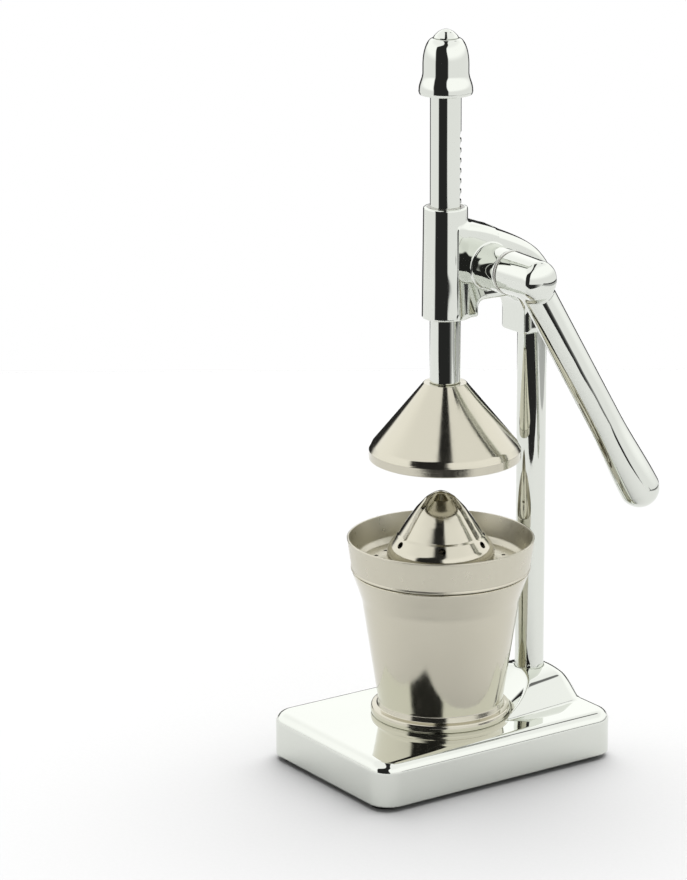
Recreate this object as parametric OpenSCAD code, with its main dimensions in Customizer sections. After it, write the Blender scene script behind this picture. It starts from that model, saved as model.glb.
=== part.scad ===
// Lever citrus juice press: a cast base and round column carry a head with a vertical guide
// sleeve. The side lever turns a pinion, the pinion drives a rack cut in the ram rod, and the
// cone under the rod presses a fruit half onto the reamer of the strainer above the cup.
// Millimetres. The origin is on the ram axis at the surface the feet stand on, +Z is up, +Y
// points to the column at the rear, and +X to the operator's right, where the lever is.

/* [Base] */
// Width of the base casting, left to right
base_w = 127; // [120:1:160]
// Length of the base casting, front to rear
base_l = 180; // [176:1:216]
// Distance from the ram axis to the front edge of the base
base_front = 91.5; // [86:0.5:100]
// Height of the base casting without its feet
base_h = 28; // [24:0.5:36]
// Radius of the rounded top edge of the base
base_edge_r = 7; // [3:0.5:10]
// Radius of the base corners seen from above
base_corner_r = 14; // [12:0.5:24]
// Wall thickness of the hollow base
base_wall = 4; // [3:0.5:6]

/* [Feet] */
// Height of the rubber feet
foot_h = 3; // [2.5:0.1:5]
// Diameter of the rubber feet
foot_d = 17; // [14:0.5:20]
// Distance of the feet from the left and right edges of the base
foot_inset_x = 15.5; // [14:0.5:20]
// Distance of the feet from the front and rear edges of the base
foot_inset_y = 11.5; // [11:0.5:16]
// Diameter of the screws that hold the feet
foot_screw_d = 4; // [3:0.5:5]

/* [Pedestal and column] */
// Height of the pedestal above the base top, at the column
pedestal_h = 17; // [12:0.5:22]
// Width of the pedestal where its sloping sides meet the base top, beside the cup
pedestal_w = 82; // [76:1:90]
// Width of the crowned top of the pedestal
pedestal_top_w = 45; // [38:1:56]
// Rise of the crowned top from its side edges to its middle
pedestal_crown = 4; // [2:0.5:6]
// Gap between the foot of the cup and the cradle cut in the pedestal
cradle_gap = 0.9; // [0.6:0.1:3]
// Diameter of the column
column_d = 18.4; // [16:0.2:22]
// Gap between the rim of the strainer and the column
column_gap = 1.9; // [1:0.1:6]
// Depth of the column in the base and in the head socket
column_seat = 28; // [20:0.5:30]
// Diameter of the bolt that holds the column
column_bolt_d = 8; // [6:1:10]

/* [Head] */
// Height of the lower end of the guide sleeve above the base top
sleeve_lift = 254; // [240:1:300]
// Length of the guide sleeve
sleeve_l = 69; // [66:1:84]
// Wall of the guide sleeve around the rod, at its lower end
sleeve_wall = 4.9; // [4.5:0.1:7]
// How much thinner that wall is at the upper end
sleeve_taper = 0.8; // [0:0.1:1]
// Thickness of the arm, left to right
arm_t = 28; // [28:0.5:32]
// Length of the column socket below the arch of the arm
socket_drop = 26.7; // [20:0.5:32]
// Diameter of the shaft boss on the right side
boss_d = 27.8; // [24:0.2:32]
// Length of the shaft boss past the arm
boss_l = 21.5; // [16:0.5:26]

/* [Rack and pinion] */
// Tooth module of the rack and the pinion
tooth_m = 2; // [1.8:0.1:2.1]
// Number of pinion teeth
pinion_teeth = 16; // [15:1:17]
// Face width of the pinion teeth
pinion_w = 13.5; // [10:0.5:14]
// Diameter of the pinion shaft
shaft_d = 12; // [10:0.5:12]
// Height of the shaft axis above the lower end of the sleeve
shaft_lift = 31.5; // [31:0.5:36]
// Play between the flanks of the teeth
backlash = 0.3; // [0.2:0.05:0.5]
// Wall of the shaft bushes and guide bushes
bush_wall = 2; // [1.5:0.25:2]

/* [Ram] */
// Diameter of the ram rod
rod_d = 19; // [18:0.2:20]
// Length of the ram rod
rod_l = 196; // [192:1:230]
// Distance from the lower end of the sleeve down to that of the rod, in the pose of the photo
rod_drop = 41; // [36:1:48]
// Number of gaps between the rack teeth
rack_gaps = 19; // [19:1:20]
// Height of the bell-shaped knob
knob_h = 34; // [30:0.5:44]
// Diameter of the knob at its lower rim
knob_d = 33; // [30:0.5:38]
// Diameter of the waist of the knob
knob_waist_d = 28.2; // [26:0.2:30]

/* [Press cone] */
// Diameter of the press cone at its rim band
cone_d = 94; // [84:1:100]
// Diameter of the flat top of the press cone
cone_top_d = 26.4; // [24:0.2:30]
// Height of the press cone with its rim band
cone_h = 48; // [44:0.5:56]
// Height of the rim band
cone_band = 5.8; // [4:0.2:8]
// Sheet thickness of the press cone
cone_wall = 1.4; // [1:0.1:2]

/* [Cup] */
// Distance that the cup stands in front of the ram axis
cup_shift = 3; // [2:0.5:4]
// Height of the cup from the base top to its lip
cup_h = 93.5; // [80:0.5:100]
// Diameter of the foot ring of the cup
cup_foot_d = 87.8; // [84:0.2:89]
// Diameter of the cup wall just above the foot ring
cup_low_d = 78.4; // [74:0.2:82]
// Diameter of the cup where its flared lip begins
cup_top_d = 98; // [94:0.5:102]
// Diameter of the lip of the cup
cup_lip_d = 110.6; // [108:0.2:116]
// Sheet thickness of the cup
cup_wall = 1.2; // [0.8:0.1:1.6]

/* [Strainer] */
// Height of the strainer above the lip of the cup
strainer_h = 20.8; // [16:0.2:26]
// How far the rim of the strainer stands out past the lip of the cup
strainer_out = 3.1; // [2:0.1:6]
// Sheet thickness of the strainer
strainer_wall = 1.2; // [0.8:0.1:1.6]
// Height of the reamer tip above the strainer floor
reamer_h = 48; // [40:0.5:50]
// Diameter of the reamer cone at the crease above its skirt
reamer_d = 53; // [48:0.5:56]
// Diameter of the skirt below the reamer
skirt_d = 67.8; // [62:0.2:72]
// Number of ribs on the reamer
reamer_ribs = 3; // [3:1:3]
// Thickness of the ribs
rib_t = 3.2; // [2:0.2:5]
// Number of juice holes in the skirt
juice_holes = 6; // [3:3:6]
// Diameter of the juice holes in the skirt
juice_hole_d = 4.6; // [3:0.2:5]
// Number of drain holes in the strainer floor
floor_holes = 24; // [12:1:30]
// Radius of the drain holes in the strainer floor
floor_hole_r = 1.3; // [1:0.1:1.8]
// Turn of the strainer about its axis, in the pose of the photo
strainer_turn = -34; // [-60:1:60]

/* [Lever] */
// Length of the lever from the shaft axis to the centre of its bulb
lever_l = 156.5; // [140:0.5:157]
// Diameter of the lever bar near the hub
lever_d = 20.4; // [18:0.2:22]
// Diameter of the bulb at the end of the lever
bulb_d = 25.2; // [22:0.2:27]
// Angle of the lever behind straight down, in the pose of the photo
lever_back = 27.2; // [0:0.1:60]
// Angle by which the lever leans outward, away from the cup
lever_out = 7.35; // [7:0.05:12]
// Length of the lever hub without its dome
hub_l = 29; // [28:0.5:36]
// Diameter of the outer end of the lever hub
hub_d = 24.4; // [22:0.2:27]

/* [Hidden] */
$fn = 64;
e = 0.01;               // reach of a cut past the face it opens
fit = 0.05;             // radial play of a running fit
seat = 0.03;            // radial play of a fixed seat
base_z = foot_h;
base_top = base_z + base_h;
base_rear = base_l - base_front;
foot_x = base_w / 2 - foot_inset_x;
foot_front = base_front - foot_inset_y;
foot_rear = base_rear - foot_inset_y;
foot_web = foot_h * 0.4;
foot_screw_l = 12;
foot_head_r = foot_screw_d * 1.05;
pedestal_top = base_top + pedestal_h;
column_r = column_d / 2;
rim_r = cup_lip_d / 2 + strainer_out;    // rim of the strainer
column_y = rim_r - cup_shift + column_gap + column_r;
pedestal_taper = 7;     // how much narrower each side is at the rear
pedestal_back = 1.5;    // setback of the pedestal from the rear face of the base
pedestal_edge = 3;      // rounding of the rear edge of the pedestal
cradle_r = cup_foot_d / 2 + cradle_gap;
cradle_wall = 2;        // height of the upright part of the cradle, below its flare
column_bolt_r = column_bolt_d / 2;
column_floor = pedestal_top - column_seat;
column_washer_t = 1.6;
column_washer_r = column_bolt_r * 2.2;
column_boss_h = 8;      // solid metal between the washer and the foot of the column
column_boss_z = column_floor - column_boss_h;
column_head_h = 5.2;
column_bolt_l = 24;

sleeve_d = rod_d + 2 * sleeve_wall;
sleeve_top_d = sleeve_d - 2 * sleeve_taper;
sleeve_z = base_top + sleeve_lift;
sleeve_top = sleeve_z + sleeve_l;
arch_z = sleeve_z + 10;
socket_z = arch_z - socket_drop;
socket_front = column_y - column_r - 5.6;
column_top = socket_z + column_seat;
web_y = 16.5;
arm_top = sleeve_top - 8;
arm_knee_y = column_y - 12.5;
arm_knee_z = arm_top - 18;
arm_back_r = 67.5;      // radius of the arm's falling rear outline

pitch_r = tooth_m * pinion_teeth / 2;
pinion_r = pitch_r + tooth_m;
tooth_pitch = PI * tooth_m;
rack_line = rod_d / 2 - tooth_m;         // pitch line of the rack, behind the ram axis
shaft_y = rack_line + pitch_r;
shaft_z = sleeve_z + shaft_lift;
shaft_r = shaft_d / 2;
shaft_bush_r = shaft_r + bush_wall;
chamber_r = pinion_r + 0.6;
chamber_left = -arm_t / 2;
pinion_x = 7;           // right face of the pinion
chamber_right = pinion_x + 1;
pinion_hub_l = 4.6;
pinion_hub_r = shaft_r + 3.4;
cover_r = chamber_r + 5.4;
cover_t = 3;
cover_screw_r = 1.5;
cover_screw_ring = chamber_r + 2.4;
cover_screw_angles = [90, 210, 330];
cover_boss_l = 8;
cover_flat_z = arch_z + 1;
shaft_left = chamber_left - cover_t - cover_boss_l + 2.5;

rod_r = rod_d / 2;
rod_z = sleeve_z - rod_drop;
rod_top = rod_z + rod_l;
rack_low = shaft_z - 5 * tooth_pitch;    // centre of the lowest gap
guide_r = rod_r + 0.8;
cover_grip = arm_t / 2 - guide_r + 0.1;  // depth of the cover screws in the head
guide_bush_r = rod_r + bush_wall;
guide_bush_l = 13;
knob_screw_r = 4;
knob_screw_l = 26;
knob_z = rod_top - 17;
knob_top = knob_z + knob_h;
knob_flare_z = 3;       // where the rim of the knob starts to narrow to the waist
knob_crown_z = knob_h - 16;
knob_crown_c = knob_waist_d / 2 - 6.3;   // centre of the crown's quarter ellipse
finial_r = 7.7;
finial_h = 5.4;

cone_low = rod_z - cone_h;
cone_r = cone_d / 2;
cone_screw_r = 3;
cone_screw_l = 22;
cone_washer_t = 1;
cone_head_h = 3;

cup_z = base_top;
cup_lip = cup_z + cup_h;
cup_flare_z = cup_lip - 19.5;
cup_low_z = cup_z + 9;
cup_floor = cup_z + 3.4;
cup_flare_h = cup_lip - cup_flare_z;
// Radius of the cup's flared part, from t = 0 where it begins to t = 1 at the lip
function flare_r(t) = cup_top_d / 2
    + (cup_lip_d / 2 - 0.3 - cup_top_d / 2) * (0.55 * t + 0.45 * t * t);

floor_z = cup_lip + 2.2;                 // underside of the strainer floor
strainer_top = cup_lip + strainer_h;
strainer_seat = 4.5;                     // depth of the seat ring below the lip
seat_r = flare_r(1 - strainer_seat / cup_flare_h) - cup_wall - 0.4;
skirt_r = skirt_d / 2;
skirt_arc = 13.4;
skirt_z = floor_z + 9;
juice_hole_slope = 42;  // turn of the juice holes from upright
reamer_r = reamer_d / 2;
reamer_z = floor_z + 21;
reamer_top = floor_z + reamer_h;
reamer_foot = skirt_r + 2;               // radius of the reamer's foot in the strainer floor

washer_x = arm_t / 2 + boss_l + 0.1;
washer_t = 1.2;
hub_x = washer_x + washer_t;
hub_mid = hub_x + 17;
shaft_right = hub_x + hub_l - 4;
dome_h = 6;
lever_screw_r = 3;

chrome = [0.82, 0.83, 0.82];
steel = [0.72, 0.71, 0.66];
bronze = [0.72, 0.53, 0.3];
rubber = [0.06, 0.06, 0.06];

// ---- shared shapes ----

// Round bar on the Z axis with rounded ends
module round_bar(r, z0, z1, edge) {
    translate([0, 0, z0])
        rotate_extrude()
            intersection() {
                square([r + 1, z1 - z0]);
                union() {
                    translate([-r, edge]) square([2 * r, z1 - z0 - 2 * edge]);
                    translate([edge - r, 0]) square([2 * (r - edge), z1 - z0]);
                    for (z = [edge, z1 - z0 - edge]) translate([r - edge, z]) circle(edge);
                }
            }
}

// Cylinder along +X that starts at x0, on the shaft axis
module on_shaft(x0, x1, r, r_end = -1) {
    translate([x0, shaft_y, shaft_z])
        rotate([0, 90, 0])
            cylinder(h = x1 - x0, r1 = r, r2 = r_end < 0 ? r : r_end);
}

// Points of an arc about c, from angle a to angle b, in n steps
function arc(c, r, a, b, n) = [for (i = [0:n]) let (t = a + (b - a) * i / n)
    [c[0] + r * cos(t), c[1] + r * sin(t)]];

// ---- base ----

// Quarter profile of the base wall: r out, h up, with the rounded top edge
module edge_profile(r, h, edge) {
    square([r - edge, h]);
    square([r, h - edge]);
    intersection() {
        translate([r - edge, h - edge]) circle(edge);
        square([r, h]);
    }
}

// Block with rounded vertical corners and a rounded top edge
module soft_block(w, l, h, corner, edge) {
    for (x = [-1, 1], y = [-1, 1])
        translate([x * (w / 2 - corner), y * (l / 2 - corner), 0])
            rotate_extrude() edge_profile(corner, h, edge);
    for (s = [0, 180]) {
        rotate([0, 0, s])
            translate([w / 2 - corner, l / 2 - corner, 0])
                rotate([90, 0, 0])
                    linear_extrude(l - 2 * corner) edge_profile(corner, h, edge);
        rotate([0, 0, s + 90])
            translate([l / 2 - corner, w / 2 - corner, 0])
                rotate([90, 0, 0])
                    linear_extrude(w - 2 * corner) edge_profile(corner, h, edge);
    }
    translate([corner - w / 2, corner - l / 2, 0]) cube([w - 2 * corner, l - 2 * corner, h]);
}

// Cross-section of the pedestal: sloping sides from the base top up to a crowned top
module pedestal_section(foot, shrink = 0) {
    top = pedestal_top_w / 2 - shrink;
    side_z = pedestal_top - pedestal_crown - shrink;
    crown_r = (top * top + pedestal_crown * pedestal_crown) / (2 * pedestal_crown);
    reach = asin(top / crown_r);
    polygon(concat([[-foot, base_top - base_edge_r], [foot, base_top - base_edge_r],
            [foot, base_top]],
        arc([0, side_z + pedestal_crown - crown_r], crown_r, 90 - reach, 90 + reach, 12),
        [[-foot, base_top]]));
}

// Raised rear part that holds the column, with the flaring cradle cut for the cup
module pedestal() {
    front_y = cradle_r * 0.27;
    rear_y = base_rear - pedestal_back;
    foot = pedestal_w / 2;
    difference() {
        hull() {
            translate([0, front_y, 0])
                rotate([90, 0, 0]) linear_extrude(0.1) pedestal_section(foot);
            translate([0, rear_y - pedestal_edge, 0])
                rotate([90, 0, 0]) linear_extrude(0.1) pedestal_section(foot - pedestal_taper);
            translate([0, rear_y, 0])
                rotate([90, 0, 0])
                    linear_extrude(0.1)
                        pedestal_section(foot - pedestal_taper - 1, pedestal_edge * 0.6);
        }
        translate([0, -cup_shift, base_top]) {
            cylinder(h = pedestal_h + 1, r = cradle_r);
            translate([0, 0, cradle_wall])
                cylinder(h = pedestal_h, r1 = cradle_r, r2 = cradle_r + pedestal_h);
        }
    }
}

module base() {
    color(chrome)
        difference() {
            union() {
                translate([0, base_rear - base_l / 2, base_z])
                    soft_block(base_w, base_l, base_h, base_corner_r, base_edge_r);
                pedestal();
            }
            difference() {
                translate([0, base_rear - base_l / 2, base_z - e])
                    soft_block(base_w - 2 * base_wall, base_l - 2 * base_wall,
                        base_h - base_wall + e, base_corner_r - base_wall,
                        max(base_edge_r - base_wall, 1));
                for (x = [-foot_x, foot_x], y = [-foot_front, foot_rear])
                    translate([x, y, base_z]) cylinder(h = base_h, r = foot_d / 2);
                translate([0, column_y, column_boss_z])
                    cylinder(h = pedestal_top - column_boss_z, r = column_r + 5);
                for (x = [-foot_x, foot_x])
                    translate([x - 1.5, -foot_front, base_top - 14])
                        cube([3, foot_front + foot_rear, 14]);
            }
            for (x = [-foot_x, foot_x], y = [-foot_front, foot_rear])
                translate([x, y, base_z - e])
                    cylinder(h = foot_screw_l + 1, r = foot_screw_d / 2);
            translate([0, column_y, column_floor]) cylinder(h = 60, r = column_r + fit);
            // room for the washer under the boss, where the boss lies close to the rear wall
            translate([0, column_y, base_z - e])
                cylinder(h = column_boss_z - base_z + e, r = column_washer_r + 0.3);
            translate([0, column_y, column_boss_z - 1])
                cylinder(h = column_floor - column_boss_z + 2, r = column_bolt_r + 0.3);
        }
}

module foot(x, y) {
    color(rubber)
        translate([x, y, 0])
            difference() {
                cylinder(h = foot_h, r1 = foot_d / 2 - 0.8, r2 = foot_d / 2);
                translate([0, 0, -e]) cylinder(h = foot_h - foot_web + e, r = foot_head_r + 0.4);
                translate([0, 0, -e]) cylinder(h = foot_h + 1, r = foot_screw_d / 2 + 0.1);
            }
}

module foot_front_left() { foot(-foot_x, -foot_front); }
module foot_front_right() { foot(foot_x, -foot_front); }
module foot_rear_left() { foot(-foot_x, foot_rear); }
module foot_rear_right() { foot(foot_x, foot_rear); }

module foot_screws() {
    color(steel)
        for (x = [-foot_x, foot_x], y = [-foot_front, foot_rear])
            translate([x, y, foot_h - foot_web]) {
                translate([0, 0, -1.2]) cylinder(h = 1.2, r = foot_head_r);
                translate([0, 0, -0.6]) cylinder(h = foot_screw_l, r = foot_screw_d / 2 - fit);
            }
}

// ---- column ----

module column() {
    color(chrome)
        difference() {
            translate([0, column_y, 0]) round_bar(column_r, column_floor, column_top, 0.6);
            translate([0, column_y, column_floor - e])
                cylinder(h = column_bolt_l, r = column_bolt_r);
        }
}

module column_washer() {
    color(steel)
        translate([0, column_y, column_boss_z - column_washer_t])
            difference() {
                cylinder(h = column_washer_t, r = column_washer_r);
                translate([0, 0, -e]) cylinder(h = column_washer_t + 1, r = column_bolt_r + 0.3);
            }
}

module column_bolt() {
    color(steel)
        translate([0, column_y, column_boss_z - column_washer_t]) {
            translate([0, 0, -column_head_h])
                cylinder(h = column_head_h, r = column_bolt_r * 1.75, $fn = 6);
            cylinder(h = column_washer_t + column_boss_h + column_bolt_l - 3, r = column_bolt_r - fit);
        }
}

// ---- head ----

// Side view of the arm as [y, z]: straight top, falling rear, arch between web and socket
module arm_side() {
    knee = [arm_knee_y, arm_knee_z];
    rear_c = knee - arm_back_r * [sin(35.6), cos(35.6)];
    difference() {
        union() {
            polygon([[0, sleeve_z], [0, arm_top], [14, arm_top - 1], knee, [knee[0], socket_z],
                [web_y, socket_z], [web_y, sleeve_z]]);
            intersection() {
                translate(rear_c) circle(arm_back_r, $fn = 96);
                translate([knee[0], socket_z]) square([40, 90]);
            }
        }
        // the arch, with a small round at the web and a wide one at the socket
        translate([web_y + 4, arch_z - 4]) circle(4);
        translate([socket_front - 14, arch_z - 14]) circle(14);
        polygon([[web_y, arch_z - 60], [web_y, arch_z - 4], [web_y + 4, arch_z],
            [socket_front - 14, arch_z], [socket_front, arch_z - 14],
            [socket_front, arch_z - 60]]);
    }
}

// Plan view of the arm: parallel sides and a round rear about the column
module arm_plan() {
    translate([-arm_t / 2, 0]) square([arm_t, column_y]);
    translate([0, column_y]) circle(arm_t / 2);
}

module head() {
    color(chrome)
        difference() {
            union() {
                translate([0, 0, sleeve_z])
                    cylinder(h = sleeve_l - 1, r1 = sleeve_d / 2, r2 = sleeve_top_d / 2);
                translate([0, 0, sleeve_top - 1])
                    cylinder(h = 1, r1 = sleeve_top_d / 2, r2 = sleeve_top_d / 2 - 0.8);
                intersection() {
                    translate([-arm_t / 2, 0, 0])
                        rotate([90, 0, 90]) linear_extrude(arm_t) arm_side();
                    translate([0, 0, socket_z]) linear_extrude(140) arm_plan();
                }
                on_shaft(0, arm_t / 2 + boss_l, boss_d / 2);
                // pad that the gear cover closes
                difference() {
                    on_shaft(chamber_left, 0, cover_r);
                    translate([-60, -60, cover_flat_z - 60]) cube([60, 140, 60]);
                }
            }
            translate([0, 0, sleeve_z - 1]) cylinder(h = sleeve_l + 2, r = guide_r);
            for (z = [sleeve_z - 1, sleeve_top - guide_bush_l])
                translate([0, 0, z]) cylinder(h = guide_bush_l + 1, r = guide_bush_r);
            on_shaft(chamber_left - 1, chamber_right, chamber_r);
            on_shaft(0, arm_t / 2 + boss_l + 1, shaft_bush_r);
            for (a = cover_screw_angles)
                translate([chamber_left - cover_t, shaft_y + cover_screw_ring * cos(a),
                    shaft_z + cover_screw_ring * sin(a)])
                    rotate([0, 90, 0])
                        cylinder(h = cover_t + cover_grip + 0.2, r = cover_screw_r);
            translate([0, column_y, socket_z - 1])
                cylinder(h = column_seat + 1, r = column_r + fit);
            for (z = [8, 20])
                translate([0, column_y + column_r - 2, socket_z + z])
                    rotate([-90, 0, 0]) cylinder(h = 20, r = 3);
        }
}

module head_set_screws() {
    color(steel)
        for (z = [8, 20])
            translate([0, column_y + column_r + fit, socket_z + z])
                rotate([-90, 0, 0]) {
                    difference() {
                        cylinder(h = 4, r = 3 - fit);
                        translate([0, 0, 2]) cylinder(h = 3, r = 1.5, $fn = 6);
                    }
                }
}

module guide_bush(z) {
    color(steel)
        translate([0, 0, z])
            difference() {
                cylinder(h = guide_bush_l, r = guide_bush_r - seat);
                translate([0, 0, -1]) cylinder(h = guide_bush_l + 2, r = rod_r + fit);
            }
}

module upper_guide_bush() { guide_bush(sleeve_top - guide_bush_l); }
module lower_guide_bush() { guide_bush(sleeve_z); }

module shaft_bush(x0, x1) {
    color(bronze)
        difference() {
            on_shaft(x0, x1, shaft_bush_r - seat);
            on_shaft(x0 - 1, x1 + 1, shaft_r + fit);
        }
}

module shaft_bush_right() { shaft_bush(chamber_right, arm_t / 2 + boss_l); }
module shaft_bush_left() { shaft_bush(shaft_left - 0.5, chamber_left + 2); }

module pinion_cover() {
    color(chrome)
        difference() {
            union() {
                difference() {
                    on_shaft(chamber_left - cover_t, chamber_left, cover_r);
                    translate([-60, -60, cover_flat_z - 60]) cube([60, 140, 60]);
                }
                on_shaft(chamber_left - e, chamber_left + 2, chamber_r - 0.1);
                on_shaft(chamber_left - cover_t - cover_boss_l, chamber_left,
                    shaft_bush_r + 3);
            }
            on_shaft(shaft_left - 0.5, chamber_left + 3, shaft_bush_r);
            for (a = cover_screw_angles)
                translate([chamber_left - cover_t - 1, shaft_y + cover_screw_ring * cos(a),
                    shaft_z + cover_screw_ring * sin(a)])
                    rotate([0, 90, 0]) cylinder(h = cover_t + 2, r = cover_screw_r + 0.2);
            // the spigot is open towards the rod, and the cover clears the sleeve
            translate([chamber_left + e, -20, 0])
                cube([4, 20 + rod_r + 1, sleeve_top]);
            translate([0, 0, sleeve_z - 1]) cylinder(h = sleeve_l + 2, r = sleeve_d / 2 + 0.2);
        }
}

module cover_screws() {
    color(steel)
        for (a = cover_screw_angles)
            translate([chamber_left - cover_t, shaft_y + cover_screw_ring * cos(a),
                shaft_z + cover_screw_ring * sin(a)])
                rotate([0, 90, 0]) {
                    translate([0, 0, -1.6]) cylinder(h = 1.6, r = cover_screw_r * 1.9);
                    translate([0, 0, -0.5])
                        cylinder(h = cover_t + cover_grip + 0.5, r = cover_screw_r - fit);
                }
}

// ---- shaft, pinion and lever ----

module pinion_shaft() {
    color(steel)
        difference() {
            on_shaft(shaft_left, shaft_right, shaft_r);
            translate([pinion_x - pinion_w - pinion_hub_l / 2, shaft_y, shaft_z - 20])
                cylinder(h = 40, r = 1.5);
        }
}

// Outline of a spur gear with involute flanks, with the first tooth on the +X axis
function involute(rb, r) = let (a = acos(rb / r)) tan(a) * 180 / PI - a;
function gear_outline(m, z, play) = let (
        rp = m * z / 2, rb = rp * cos(20), ro = rp + m, rr = rp - 1.25 * m,
        half = 90 / z - play / rp * 45 / PI + involute(rb, rp), n = 5)
    [for (t = [0:z - 1]) let (c = t * 360 / z) each concat(
        [[rr * cos(c - half), rr * sin(c - half)]],
        [for (i = [0:n]) let (r = rb + (ro - rb) * i / n, a = c - half + involute(rb, r))
            [r * cos(a), r * sin(a)]],
        [for (i = [n:-1:0]) let (r = rb + (ro - rb) * i / n, a = c + half - involute(rb, r))
            [r * cos(a), r * sin(a)]],
        [[rr * cos(c + half), rr * sin(c + half)]])];

module pinion() {
    color(steel)
        difference() {
            union() {
                translate([pinion_x - pinion_w, shaft_y, shaft_z])
                    rotate([90, 0, 90])
                        rotate([0, 0, 180])
                            linear_extrude(pinion_w)
                                polygon(gear_outline(tooth_m, pinion_teeth, backlash));
                on_shaft(pinion_x - pinion_w - pinion_hub_l, pinion_x - pinion_w + 1,
                    pinion_hub_r);
            }
            on_shaft(-30, 30, shaft_r + seat);
            translate([pinion_x - pinion_w - pinion_hub_l / 2, shaft_y, shaft_z - 20])
                cylinder(h = 40, r = 1.5);
        }
}

module pinion_pin() {
    color(steel)
        translate([pinion_x - pinion_w - pinion_hub_l / 2, shaft_y,
            shaft_z - pinion_hub_r + 0.4])
            cylinder(h = 2 * pinion_hub_r - 0.8, r = 1.5 - 0.02);
}

module hub_washer() {
    color(steel)
        difference() {
            on_shaft(washer_x, washer_x + washer_t, boss_d / 2 - 0.3);
            on_shaft(washer_x - 1, washer_x + washer_t + 1, shaft_r + fit);
        }
}

// Bar and bulb of the lever, along -Z from the origin
module lever_bar() {
    r = lever_d / 2;
    rb = bulb_d / 2;
    rotate_extrude()
        intersection() {
            translate([0, -lever_l - rb]) square([rb + 1, lever_l + rb]);
            union() {
                translate([0, -lever_l]) circle(rb);
                polygon([[0, 0], [r, 0], [r + 0.3, 0.64 * -lever_l], [r + 1, 0.8 * -lever_l],
                    [rb - 0.2, 0.97 * -lever_l], [rb - 0.1, -lever_l], [0, -lever_l]]);
            }
        }
}

module lever() {
    color(chrome)
        difference() {
            union() {
                on_shaft(hub_x, hub_x + hub_l, boss_d / 2 - 0.5, hub_d / 2);
                translate([hub_x + hub_l, shaft_y, shaft_z])
                    rotate([0, 90, 0])
                        intersection() {
                            cylinder(h = dome_h, r = hub_d / 2);
                            dome_r = (hub_d * hub_d / 4 + dome_h * dome_h) / (2 * dome_h);
                            translate([0, 0, dome_h - dome_r]) sphere(dome_r);
                        }
                translate([hub_mid, shaft_y, shaft_z])
                    rotate([lever_back, 0, 0])
                        rotate([0, -lever_out, 0])
                            lever_bar();
            }
            on_shaft(hub_x - 30, shaft_right + 0.2, shaft_r + seat);
            translate([hub_x - 30, shaft_y - 40, shaft_z - 40]) cube([30, 80, 80]);
            translate([hub_mid, shaft_y + shaft_r, shaft_z])
                rotate([-90, 0, 0]) cylinder(h = 20, r = lever_screw_r);
        }
}

module lever_set_screw() {
    color(steel)
        translate([hub_mid, shaft_y + shaft_r + 0.05, shaft_z])
            rotate([-90, 0, 0])
                difference() {
                    cylinder(h = 5, r = lever_screw_r - fit);
                    translate([0, 0, 2.5]) cylinder(h = 3, r = 1.5, $fn = 6);
                }
}

// ---- ram ----

// One gap between rack teeth, as [y, z] about its centre on the pitch line
module rack_gap() {
    half = tooth_pitch / 4;
    tip = tooth_m + 1;
    root = 1.25 * tooth_m;
    polygon([[-root, root * tan(20) - half], [tip, -half - tip * tan(20)],
        [tip, half + tip * tan(20)], [-root, half - root * tan(20)]]);
}

module ram_rod() {
    rack_z1 = rack_low + (rack_gaps - 1) * tooth_pitch;
    color(chrome)
        difference() {
            round_bar(rod_r, rod_z, rod_top, 0.8);
            for (i = [0:rack_gaps - 1])
                translate([-rod_r - 1, rack_line, rack_low + i * tooth_pitch])
                    rotate([90, 0, 90]) linear_extrude(2 * rod_r + 2) rack_gap();
            // flat that trims the tooth tips
            translate([-rod_r, rack_line + 0.9 * tooth_m, rack_low - tooth_pitch / 4])
                cube([2 * rod_r, 3, rack_z1 - rack_low + tooth_pitch / 2]);
            translate([0, 0, rod_z - 1]) cylinder(h = cone_screw_l + 2, r = cone_screw_r);
            translate([0, 0, rod_top - knob_screw_l + 14])
                cylinder(h = knob_screw_l, r = knob_screw_r);
        }
}

module top_knob() {
    r = knob_d / 2;
    w = knob_waist_d / 2;
    flare_h = (knob_crown_z - knob_flare_z) * 0.7;
    crown = [knob_crown_c, knob_crown_z];
    color(chrome)
        difference() {
            translate([0, 0, knob_z])
                rotate_extrude()
                    // a bell: a flared rim, an upright waist and a crown that turns in to the top
                    polygon(concat([[0, 0], [r - 0.6, 0], [r, 0.8]],
                        [for (i = [0:6]) let (t = i / 6)
                            [w + (r - 0.3 - w) * (1 + cos(180 * t)) / 2, knob_flare_z + flare_h * t]],
                        [for (a = [0:10:80])
                            crown + [(w - crown[0]) * cos(a), (knob_h - crown[1]) * sin(a)]],
                        [[finial_r, knob_h], [0, knob_h]]));
            translate([0, 0, knob_z - 1]) cylinder(h = rod_top - knob_z + 1, r = rod_r + seat);
            translate([0, 0, rod_top - 1]) cylinder(h = 40, r = knob_screw_r + 0.1);
        }
}

module knob_screw() {
    color(chrome)
        union() {
            translate([0, 0, knob_top])
                intersection() {
                    cylinder(h = finial_h, r = finial_r);
                    finial_ball = (finial_r * finial_r + finial_h * finial_h) / (2 * finial_h);
                    translate([0, 0, finial_h - finial_ball]) sphere(finial_ball);
                }
            translate([0, 0, rod_top - knob_screw_l + 15])
                cylinder(h = knob_top - rod_top + knob_screw_l - 14, r = knob_screw_r - fit);
        }
}

module press_cone() {
    outline = concat([[cone_top_d / 2, cone_h]],
        arc([cone_r - 7.3, cone_band + 1.4], 7, 44, 0, 6),
        [[cone_r - 0.3, cone_band + 0.4], [cone_r, cone_band], [cone_r, 0]]);
    n = len(outline);
    color(steel)
        translate([0, 0, cone_low])
            difference() {
                rotate_extrude()
                    polygon(concat([[0, cone_h]], outline,
                        [for (i = [n - 1:-1:1]) outline[i] - [cone_wall, 0]],
                        [[cone_top_d / 2 - 0.2, cone_h - 1.6], [0, cone_h - 1.6]]));
                translate([0, 0, cone_h - 5]) cylinder(h = 10, r = cone_screw_r + 0.1);
            }
}

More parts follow.
